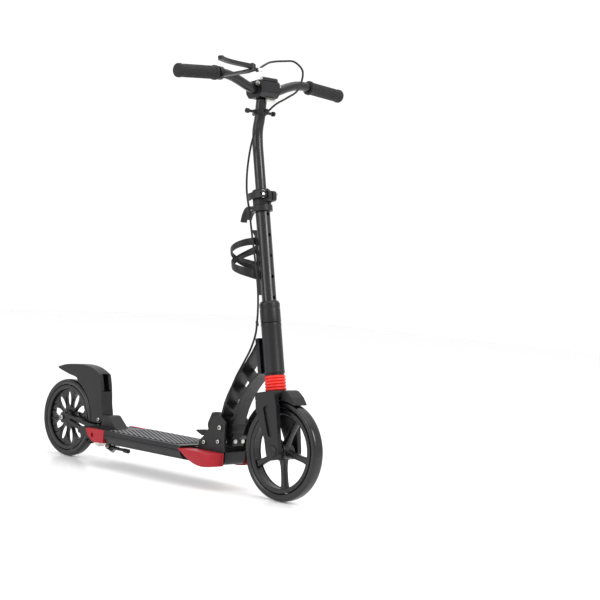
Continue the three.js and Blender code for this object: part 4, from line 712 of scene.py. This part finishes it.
# %% [markdown]
# The anti-slip sheet is a height field: a thin pad whose top rises in a smooth ridge at each stripe. A fine
# grid follows the ridges, and its rim turns down to the board.

# %% Grip sheet


def grip_sheet():
    """Height is the pad plus a ridge times a smooth step of the distance to the nearest stripe's middle."""
    low, high = box_of("grip_sheet")
    x = np.linspace(low[0], high[0], 330)
    y = np.linspace(low[1], high[1], 170)
    X, Y = np.meshgrid(x, y, indexing="ij")
    share = (X * math.sin(STRIPE_SLANT) + Y * math.cos(STRIPE_SLANT)) / STRIPE_PITCH
    away = np.abs((share + 0.5) % 1 - 0.5)
    ridge = np.clip((STRIPE_SHARE / 2 + 0.07 - away) / 0.14, 0, 1)
    ridge = ridge**2 * (3 - 2 * ridge)
    rim = np.minimum.reduce([X - low[0], high[0] - X, Y - low[1], high[1] - Y])
    height = low[2] + 0.9 + np.clip(rim / 2, 0, 1) ** 0.5 * 0.2 + ridge * 0.6 * np.clip(rim / 2.5, 0, 1)
    top = np.stack([X, Y, height], axis=-1)
    index = np.arange(X.size).reshape(X.shape)
    edge = np.concatenate([index[:-1, 0], index[-1, :-1], index[:0:-1, -1], index[0, :0:-1]])
    skirt = top.reshape(-1, 3)[edge].copy()
    skirt[:, 2] = low[2]
    foot = X.size + np.arange(len(edge))
    quads = np.stack([index[:-1, :-1], index[1:, :-1], index[1:, 1:], index[:-1, 1:]], axis=-1).reshape(-1, 4)
    wall = np.stack([edge, np.roll(edge, -1), np.roll(foot, -1), foot], axis=-1)
    faces = quads.tolist() + wall.tolist() + [foot.tolist()]
    part = (np.concatenate([top.reshape(-1, 3), skirt]), faces)
    return piece("grip_sheet_finished", part, grip_sheet_finish, "deck", ["grip_sheet"], sharp=50)


grip_sheet()

# %% [markdown]
# Each front corner has a red cap shaped like a wing. Its tail starts as a point on the board's side, and the
# cap deepens and rounds the corner as it runs forward. It is a strip of sections along the corner's plan curve;
# behind the board's end the strip is a thin skin over the board, and in front of it the strip is solid.

# %% Front caps


def front_cap(side):
    """Sections from the plan curve inwards: top and bottom edges are two smooth functions of the distance."""
    name = "front_cap_left" if side > 0 else "front_cap_right"
    low, high = box_of(name)
    board_low, board_high = box_of("deck_board")
    outer, inner = max(abs(low[1]), abs(high[1])), min(abs(low[1]), abs(high[1]))
    tail = board_high[0] - 8
    plan = smooth_path([
        (tail, outer - 0.4, 0), (tail + 20, outer, 0), (board_high[0] + 40, outer, 0), (high[0] - 32, outer - 2, 0),
        (high[0] - 12, outer - 10, 0), (high[0] - 2, outer - 24, 0), (high[0], inner + 4, 0),
        (high[0] - 0.5, inner, 0),
    ], 64)
    reach = np.concatenate([[0], np.cumsum(np.linalg.norm(np.diff(plan, axis=0), axis=1))])
    reach /= reach[-1]
    top_edge = np.interp(reach, [0, 0.12, 0.5, 1], [board_high[2] - 6, high[2] - 1, high[2], high[2] - 0.5])
    drop = np.interp(reach, [0, 0.1, 0.25, 0.4, 0.55, 0.7, 1], [2, 11, 23, 32, 36, 34, 28])
    drop = np.convolve(np.pad(drop, 4, mode="edge"), np.ones(9) / 9, mode="valid")
    bottom_edge = np.maximum(top_edge - drop, low[2])
    inward = np.where(plan[:, 0] < board_high[0] + 0.3, outer - board_high[1] - 0.1, 40.0)
    inner_y = np.maximum(plan[:, 1] - inward, inner)
    inner_y = np.minimum(inner_y, plan[:, 1] - 0.5)
    round_edge = 3.0
    columns = []
    for y, z in (
        (inner_y, bottom_edge), (plan[:, 1] - round_edge, bottom_edge), (plan[:, 1] - 0.8, bottom_edge + 0.8),
        (plan[:, 1], bottom_edge + round_edge), (plan[:, 1], top_edge - round_edge),
        (plan[:, 1] - 0.8, top_edge - 0.8), (plan[:, 1] - round_edge, top_edge), (inner_y, top_edge),
    ):
        y = np.maximum(y, inner_y)
        middle = (bottom_edge + top_edge) / 2
        z = np.where((top_edge - bottom_edge) < 2.4 * round_edge, middle + (z - middle) * 0.9, z)
        columns.append(np.stack([plan[:, 0], side * y, z], axis=-1))
    grid = np.stack(columns, axis=1)
    return piece(name + "_finished", grid_part(grid), red_plastic, "deck", [name], sharp=50)


front_cap(-1)
front_cap(1)

# %% [markdown]
# ## Steering column
# Tubes and collars are turned shapes about the steering axis. Small radii on every edge keep them from looking
# like plain cylinders, and the stem's sleeve has the shadow gap of a real joint.

# %% Head tube, sleeve and lower tube
HEAD_LENGTH = 118
HEAD_RADIUS = 24
TUBE_RADIUS = 17
TUBE_TOP = 411
SLEEVE_TOP = 169


def turned_piece(name, outline, material, body, replaced, segments=72):
    """A closed profile with rounded corners, turned about the steering axis."""
    return piece(name, lathe(rounded(outline, 5), segments), material, body, replaced, sharp=35)


turned_piece("head_tube_finished", [
    (20, 0, 0.4), (HEAD_RADIUS - 1.2, 0, 1), (HEAD_RADIUS, 1.2, 1), (HEAD_RADIUS, 6.5, 0.4),
    (HEAD_RADIUS - 0.5, 7.2, 0.4), (HEAD_RADIUS - 0.5, HEAD_LENGTH - 7.2, 0.4),
    (HEAD_RADIUS, HEAD_LENGTH - 6.5, 0.4), (HEAD_RADIUS, HEAD_LENGTH - 1.2, 1),
    (HEAD_RADIUS - 1.2, HEAD_LENGTH, 1), (20, HEAD_LENGTH, 0.4),
], black_paint, "neck", ["head_tube"])
turned_piece("steering_sleeve_finished", [
    (17.3, 118.6, 0.3), (23, 118.6, 1), (24, 119.6, 1), (24, 150, 1), (23.2, 151, 0.6), (23.2, 153, 0.6), (24, 154, 1),
    (24, SLEEVE_TOP - 6, 3), (20.5, SLEEVE_TOP, 1.5), (17.3, SLEEVE_TOP, 0.3),
], black_paint, "stem", ["steering_sleeve"])

# %% [markdown]
# The lower tube has five oval-looking stop holes down its front. A real hole shows a wall and darkness behind
# it, so the tube is turned hollow and cut by round bars with a Boolean modifier, which is then applied.

# %% Lower tube with its stop holes
STOPS = 5
STOP_PITCH = 49
FIRST_STOP = 176
HOLE_RADIUS = 4.3


def lower_tube():
    """A turned tube less five bars that point ahead."""
    outline = rounded([
        (15, -3.5, 0.3), (22, -3.5, 0.6), (22, -0.6, 0.5), (TUBE_RADIUS, -0.6, 0.3), (TUBE_RADIUS, TUBE_TOP, 0.6),
        (13.3, TUBE_TOP, 0.4), (13.3, 118, 0.3), (15, 118, 0.3),
    ], 4)
    tube = loose_object("lower_stem_tube_finished", lathe(outline, 96))
    for k in range(STOPS):
        middle = np.array([0, 0, FIRST_STOP + STOP_PITCH * k])
        path = steered(middle + np.array([[5.0, 0, 0], [30.0, 0, 0]]))
        cut_by(tube, grid_part(carried(circle(HOLE_RADIUS, 32), path)))
    finished(tube, black_satin, "stem", ["lower_stem_tube"], sharp=35)
    print("lower tube", len(tube.data.polygons), "faces")
    return tube


lower_tube()

# %% [markdown]
# The upper tube slides in the lower one and bends forward to the handlebar. It is one circle carried along the
# same line that the frame's tube follows.

# %% Upper tube
UPPER_RADIUS = 12.7


def upper_tube():
    """Straight to the bend, a smooth bend, and a straight leaning leg."""
    rake = math.atan2(-along_axis[0], along_axis[2])
    lean = math.tan(math.radians(4) + rake)
    top_ahead, top, bend, foot = 24, 639, 569, 250
    bend_ahead = top_ahead - lean * (top - bend)
    route = steered([
        (0, 0, foot), (0, 0, 350), (0, 0, 450), (0, 0, bend - 60), (0, 0, bend - 30),
        (bend_ahead * 0.5 + 1.5, 0, bend + 4), (top_ahead - lean * (top - bend) * 0.6, 0, bend + (top - bend) * 0.4),
        (top_ahead, 0, top + 3),
    ])
    path = smooth_path(route, 60)
    return piece("upper_stem_tube_finished", grid_part(carried(circle(UPPER_RADIUS, 48), path)), black_satin,
                 "t_bar", ["upper_stem_tube"], sharp=35)


upper_tube()

# %% [markdown]
# The bellows over the fork spring is soft bright rubber: five round folds with sharp valleys. Its profile is
# the absolute value of a sine, which has just that shape.

# %% Bellows


def bellows():
    """Radius is the valley radius plus the fold's depth times the absolute sine, to a power."""
    low, high, folds = -39.4, -3.9, 5
    share = np.linspace(0, 1, folds * 14 + 1)
    outside = 22.2 + 2.6 * np.abs(np.sin(math.pi * folds * share)) ** 0.8
    height = low + (high - low) * share
    outer = np.stack([outside, height], axis=-1)
    inner = np.stack([outside - 1.6, height], axis=-1)[::-1]
    squeeze = ("stem", "fork", tuple(steered((0, 0, high)) * MM), tuple(steered((0, 0, low)) * MM))
    return piece("bellows_finished", lathe(np.concatenate([outer, inner]), 72), red_rubber, squeeze,
                 ["suspension_bellows"], sharp=70)


bellows()

# %% [markdown]
# The spring inside the bellows is a round wire carried along a helix.

# %% Fork spring
SPRING_RADIUS = 17.6
WIRE_RADIUS = 1.3


def fork_spring():
    """A helix: its angle and its height both rise in step, at the spring's mean radius."""
    low, high, turns = -37.4, -6.2, 4.5
    share = np.linspace(0, 1, 160)
    turn = 2 * math.pi * turns * share
    helix = np.stack([SPRING_RADIUS * np.cos(turn), SPRING_RADIUS * np.sin(turn), low + (high - low) * share], axis=-1)
    squeeze = ("stem", "fork", tuple(steered((0, 0, high)) * MM), tuple(steered((0, 0, low)) * MM))
    wire = grid_part(carried(circle(WIRE_RADIUS, 12), steered(helix), along_axis))
    return piece("fork_spring", wire, zinc_steel, squeeze, ["suspension_spring"], sharp=60)


fork_spring()

# %% [markdown]
# ## Handlebar
# A bent tube whose middle dips to the clamp, with a ribbed rubber grip on each end. The grips' pattern is a
# height field too: staggered lozenges that stand half a millimetre proud between a flange and a flared end.

# %% Handlebar tube
BAR_AHEAD = 32
BAR_HEIGHT = 662
BAR_HALF = 262
BAR_RADIUS = 11
GRIP_LENGTH = 115
GRIP_RISE = 25
GRIP_DROOP = 8.5
CLAMP_HALF = 30


def bar_half():
    """The right half of the bar's middle line, from the clamp to the grip's end."""
    end = np.array([BAR_AHEAD - 3, -BAR_HALF, BAR_HEIGHT + GRIP_RISE - GRIP_DROOP])
    start = np.array([BAR_AHEAD + 2, -BAR_HALF + GRIP_LENGTH + 14, BAR_HEIGHT + GRIP_RISE])
    straight = [start + (end - start) * share for share in (0, 0.3, 0.7, 1)]
    across = -CLAMP_HALF + (start[1] + CLAMP_HALF) * np.array([0.21, 0.47, 0.74])
    return [
        (BAR_AHEAD, -CLAMP_HALF / 2, BAR_HEIGHT), (BAR_AHEAD, -CLAMP_HALF - 3, BAR_HEIGHT),
        (BAR_AHEAD + 0.5, across[0], BAR_HEIGHT + 5), (BAR_AHEAD + 1, across[1], BAR_HEIGHT + GRIP_RISE * 0.6),
        (BAR_AHEAD + 2, across[2], BAR_HEIGHT + GRIP_RISE - 2.5), *straight,
    ]


right_points = np.array(bar_half())
left_points = right_points * np.array([1, -1, 1])
bar_points = np.concatenate([right_points[::-1], [[BAR_AHEAD, 0, BAR_HEIGHT]], left_points])
bar_route = smooth_path(steered(bar_points), 160)
piece("handlebar_finished", grid_part(carried(circle(BAR_RADIUS, 40), bar_route, ahead_axis)), black_satin,
      "t_bar", ["handlebar"], sharp=35)

# %% Grips


def grip(side):
    """Radius along the grip from its silhouette, plus lozenges: the product of two crossed cosines."""
    end = steered(right_points[-1] * np.array([1, -side, 1]))
    nearer = steered(right_points[-2] * np.array([1, -side, 1]))
    along = (nearer - end) / np.linalg.norm(nearer - end)
    length = GRIP_LENGTH - 3
    reach = np.linspace(-2.8, length, 190)
    silhouette = np.interp(
        reach, [-2.8, -2.2, 0, 7, 10, length - 9, length - 6.5, length - 0.8, length],
        [13.2, 14.8, 16.0, 16.0, 14.7, 14.7, 17.0, 17.0, 16.2],
    )
    turn = angles(96)
    row, column = np.meshgrid(reach, turn, indexing="ij")
    lozenge = np.cos(12 * column + row * 0.55) * np.cos(12 * column - row * 0.55)
    patterned = np.clip((row - 12) / 2, 0, 1) * np.clip((length - 11 - row) / 2, 0, 1)
    radius = silhouette[:, None] + 0.55 * np.clip(lozenge * 2.2, -0.6, 1) * patterned
    rings = 0.35 * np.cos(row * 2.6) * np.clip(row - 1, 0, 1) * np.clip(7 - row, 0, 1)
    section = np.stack([np.cos(column), np.sin(column)], axis=-1) * (radius + rings)[..., None]
    path = end + along * reach[:, None]
    name = "grip_left" if side > 0 else "grip_right"
    return piece(name + "_finished", grid_part(carried(section, path, ahead_axis)), black_rubber, "t_bar", [name],
                 sharp=50)


grip(-1)
grip(1)

# %% [markdown]
# ## Brake cable
# A black housing runs from the lever, over the bar in a loop, down the stem's right side, and through the neck
# to the rear brake. It is made in four lengths: one from the T-bar to the stem, one from the stem to the neck,
# one from the neck to the deck, and the last rides on the deck.

# %% Cable routes
CABLE_RADIUS = 2.4
upper_route = [
    (325, -95, 982), (316, -72, 992), (300, -40, 1002), (290, 10, 1011), (284, 55, 1014), (286, 80, 996),
    (292, 62, 950), (290, 30, 928), (284, -2, 908), (268, -24, 874), (247, -28, 832), (225, -19, 765),
    (224, -16, 708), (243, -20, 655), (262, -27, 610), (275, -27.5, 565), (296, -28, 480), (303, -30, 430),
    (303, -30, 405),
]
lower_route = [
    (303, -30, 403), (299, -28, 378), (284, -25.5, 342), (262, -25.5, 305), (243, -25.5, 275), (228, -25.5, 245),
    (217, -25.5, 215), (207, -26.5, 188), (198, -27, 165), (194, -27, 145), (191, -27, 122), (189, -27, 96),
    (189, -27, 60), (183, -26, 54.5), (166, -24, 53.5), (120, -20, 55), (20, -14, 56), (-80, -9, 56),
    (-180, -4, 55), (-222, -1, 50.5), (-240.7, 0, 49),
]


def cable(name, path, body, beside, replaced=()):
    """A circle carried along the route."""
    housing = grid_part(carried(circle(CABLE_RADIUS, 16), path, beside))
    return piece(name, housing, black_rubber, body, replaced, sharp=60)


upper_path = smooth_path(upper_route, 260)
lower_path = smooth_path(lower_route, 260)
split = int(np.argmin(np.abs(upper_path[:, 2] - 640) + (upper_path[:, 1] > 0) * 1000))
seam = int(np.argmin(np.abs(lower_path[:, 2] - 80) + (lower_path[:, 0] < 150) * 1000))
from_bar, to_stem, to_neck = [tuple(upper_path[i] * MM) for i in (40, split, -1)]
from_stem = tuple(upper_path[split + 20] * MM)
cable("cable_to_stem", upper_path[: split + 1], ("t_bar", "stem", from_bar, to_stem), (1, 0, 0),
      ["brake_cable_upper"])
cable("cable_to_neck", upper_path[split:], ("stem", "neck", from_stem, to_neck), (0, 1, 0))
cable("cable_to_deck", lower_path[: seam + 1], ("neck", "deck", (0.212, -0.026, 0.19), (0.190, -0.027, 0.11)),
      (0, 1, 0), ["brake_cable_lower"])
cable("cable_under_deck", lower_path[seam:], "deck", (0, 1, 0))

# %% [markdown]
# The bottle cage is a spine on the back of the stem, with flat springy arms that curl round the bottle. Each arm is
# a flat squared ellipse that narrows along its path round the bottle.

# %% Bottle cage
HOOP_MIDDLE = -62
HOOP_RADIUS = 37


def hoop(side, start, end, reach, half_width, sag):
    """Half a hoop: round the bottle from the spine, its height a power of the share of the way round."""
    share = np.linspace(0, 1, 40)
    turn = share * reach
    height = start + (end - start) * share**sag
    path = np.stack([HOOP_MIDDLE + HOOP_RADIUS * np.cos(turn), side * HOOP_RADIUS * np.sin(turn), height], axis=-1)
    width = half_width * (1 - 0.35 * share)
    section = superellipse(1, 2.0, 0.6, 20)[None] * np.stack([width, np.ones(40)], axis=-1)[:, None]
    return grid_part(carried(section, steered(path), along_axis))


def bottle_cage():
    """A spine with a nub at its top, and an upper, a lower and a short middle hoop on each side."""
    spine = rounded([(-13, 186, 2), (-13, 338, 2), (-34, 342, 2), (-25, 326, 6), (-25, 216, 8), (-24, 192, 4),
                     (-30, 187, 1.5)])
    parts = [slab(spine, -8, 8, steered)]
    for side in (-1, 1):
        parts.append(hoop(side, 314, 284, math.pi, 9, 2.0))
        parts.append(hoop(side, 232, 284, math.pi, 11, 1.3))
        parts.append(hoop(side, 292, 275, 0.42 * math.pi, 5, 1.0))
        parts.append(hoop(side, 257, 275, 0.42 * math.pi, 5, 1.0))
    return piece("bottle_cage_finished", parts, black_plastic, "stem", ["bottle_cage"], sharp=50)


bottle_cage()

# %% [markdown]
# ## Bolts and small metal
# A bolt head is turned, with a socket sunk into it and a black disc at the socket's bottom, which is painted shade
# for the socket's dark inside. The front axle has black domes instead. Bearings and the button keep their CAD
# meshes and get a plated or brass finish.

# %% Bolt heads
HEAD_HEIGHT = 3.4


def bolt_head(x, z, face, out, radius, height):
    """A chamfered disc with a sunk middle, turned about a line along Y."""
    profile = [(0, 0.2), (radius, 0.2), (radius, height - 1), (radius - 1, height), (radius * 0.55, height),
               (radius * 0.5, height - 2), (0, height - 2)]
    place = about_y(x, z)
    return lathe(np.array(profile) * (1, out) + (0, face), 28, place)


def socket_shade_disc(x, z, face, out, radius, height):
    """A black disc at the socket's bottom: painted shade that stands for the dark inside of the socket."""
    profile = [(0, height - 2.4), (radius * 0.5, height - 2.4), (radius * 0.5, height - 1.6), (0, height - 1.6)]
    return lathe(np.array(profile) * (1, out) + (0, face), 6, about_y(x, z))


def cross_bolt(node, radius, height, body):
    """A head at each end of a bolt that runs across the scooter."""
    low, high = box_of(node)
    x, z = (low[0] + high[0]) / 2, (low[2] + high[2]) / 2
    ends = [(low[1] + height, -1), (high[1] - height, 1)]
    shank = lathe([(0, low[1] + height), (3, low[1] + height), (3, high[1] - height), (0, high[1] - height)], 16,
                  about_y(x, z))
    piece(node + "_finished", [shank] + [bolt_head(x, z, face, out, radius, height) for face, out in ends],
          zinc_steel, body, [node], sharp=30)
    # The black discs in the sockets are painted shade, not a part of the real bolt.
    piece(node + "_sockets", [socket_shade_disc(x, z, face, out, radius, height) for face, out in ends], black_rubber,
          body)


for node, radius in (("fold_pivot_bolt", 5.6), ("fold_plate_bolt_front", 4.8), ("fold_plate_bolt_rear", 4.8),
                     ("fender_pivot_pin", 4.6), ("rear_axle", 5.6)):
    cross_bolt(node, radius, HEAD_HEIGHT, "deck")

# %% Front axle's caps


def front_hub_caps():
    """A black dome over each end of the axle."""
    low, high = box_of("front_axle")
    x, z = (low[0] + high[0]) / 2, (low[2] + high[2]) / 2
    parts = []
    for face, out in ((low[1], -1), (high[1], 1)):
        profile = np.array([(0, -7), (14, -7), (14.4, -4.5), (13, -2.2), (9, -0.7), (4, -0.1), (0, 0)])
        parts.append(lathe(profile * (1, out) + (0, face), 48, about_y(x, z)))
    parts.append(lathe([(0, low[1] + 6), (4, low[1] + 6), (4, high[1] - 6), (0, high[1] - 6)], 16, about_y(x, z)))
    piece("front_axle_finished", parts, black_paint, "fork", ["front_axle"], sharp=30)


front_hub_caps()

# %% [markdown]
# The cable's adjuster and ferrule, and the barrel and bolts of the clamps, are short round bars.

# %% Short round bars


def steered_rod(start, end, radius, sides=28):
    """A round bar between two points that are given about the steering axis."""
    path = steered(np.array([start, end], float))
    beside = ahead_axis if abs(start[1] - end[1]) > 1 else left_axis
    return grid_part(carried(circle(radius, sides), path, beside))


piece("lever_adjuster", steered_rod((121, -102.5, 677.5), (125, -92, 678.2), 4.6), zinc_steel, "t_bar",
      bevel=0.6)
piece("clamp_barrel", steered_rod((54, -24, 683), (54, 24, 683), 4.6), black_satin, "t_bar", bevel=1)
piece("clamp_barrel_ends", [steered_rod((54, side * 24.3, 683), (54, side * 26.5, 683), 3.6) for side in (-1, 1)],
      zinc_steel, "t_bar", bevel=0.5)
piece("clamp_wedge_bolt", steered_rod((44, -4, 636), (44, 22, 636), 3.8), zinc_steel, "t_bar", bevel=0.6)
piece("cable_ferrule", steered_rod((-14.5, -30, 113), (-15.5, -30, 124), 3.3), black_rubber, "neck",
      bevel=0.5)

# %% Plain nodes get their finishes
plated = [
    "rear_bearing", "neck_bolt_right", "neck_bolt_left", "lower_bearing", "upper_bearing", "clamp_skewer",
    "front_bearing", "bar_clamp_bolt",
]
for node in plated:
    frame["nodes"][node].data.materials.clear()
    frame["nodes"][node].data.materials.append(zinc_steel)
frame["nodes"]["snap_button"].data.materials.clear()
frame["nodes"]["snap_button"].data.materials.append(brass)
print("plated", len(plated), "nodes")

# %% [markdown]
# ## Studio
# A pale glossy floor that mirrors the wheels faintly, a white surround, and large soft lights: one over the
# camera's right shoulder for the long streaks on the tubes, one on the left, and one above.

# %% Floor
FLOOR_SIZE = 14


def studio_floor():
    """A large square just below the wheels."""
    mesh = bpy.data.meshes.new("floor")
    half = FLOOR_SIZE / 2
    mesh.from_pydata([(-half, -half, 0), (half, -half, 0), (half, half, 0), (-half, half, 0)], [], [(0, 1, 2, 3)])
    floor = bpy.data.objects.new("floor", mesh)
    floor.location.z = -0.0005
    bpy.context.scene.collection.objects.link(floor)
    material = bpy.data.materials.new("floor")
    material.use_nodes = True
    shader = material.node_tree.nodes["Principled BSDF"]
    shader.inputs["Base Color"].default_value = (0.93, 0.93, 0.93, 1)
    shader.inputs["Roughness"].default_value = 0.22
    shader.inputs["IOR"].default_value = 1.25
    mesh.materials.append(material)
    return floor


studio_floor()

# %% Lights
world = bpy.data.worlds.new("studio")
world.use_nodes = True
background = world.node_tree.nodes["Background"]
background.inputs["Color"].default_value = (1, 1, 1, 1)
light_path = added(world.node_tree, "LightPath")
strength = added(world.node_tree, "MapRange", To_Min=1.0, To_Max=1.05)
world.node_tree.links.new(light_path.outputs["Is Camera Ray"], strength.inputs["Value"])
world.node_tree.links.new(strength.outputs["Result"], background.inputs["Strength"])
bpy.context.scene.world = world
bpy.context.scene.view_settings.view_transform = "Standard"


def soft_light(name, place, target, size, power):
    """A square area light that faces its target."""
    data = bpy.data.lights.new(name, "AREA")
    data.size = size
    data.energy = power
    light = bpy.data.objects.new(name, data)
    light.location = place
    light.rotation_mode = "QUATERNION"
    light.rotation_quaternion = (Vector(target) - Vector(place)).to_track_quat("-Z", "Y")
    bpy.context.scene.collection.objects.link(light)
    print(name, "light", power, "W")


soft_light("key", (3.2, 0.2, 2.2), (0.1, 0, 0.5), 1.2, 60)
soft_light("fill", (-0.5, -3.2, 1.6), (0.0, 0, 0.4), 1.6, 30)
soft_light("top", (0.0, 0.0, 4.0), (0, 0, 0), 5.0, 90)
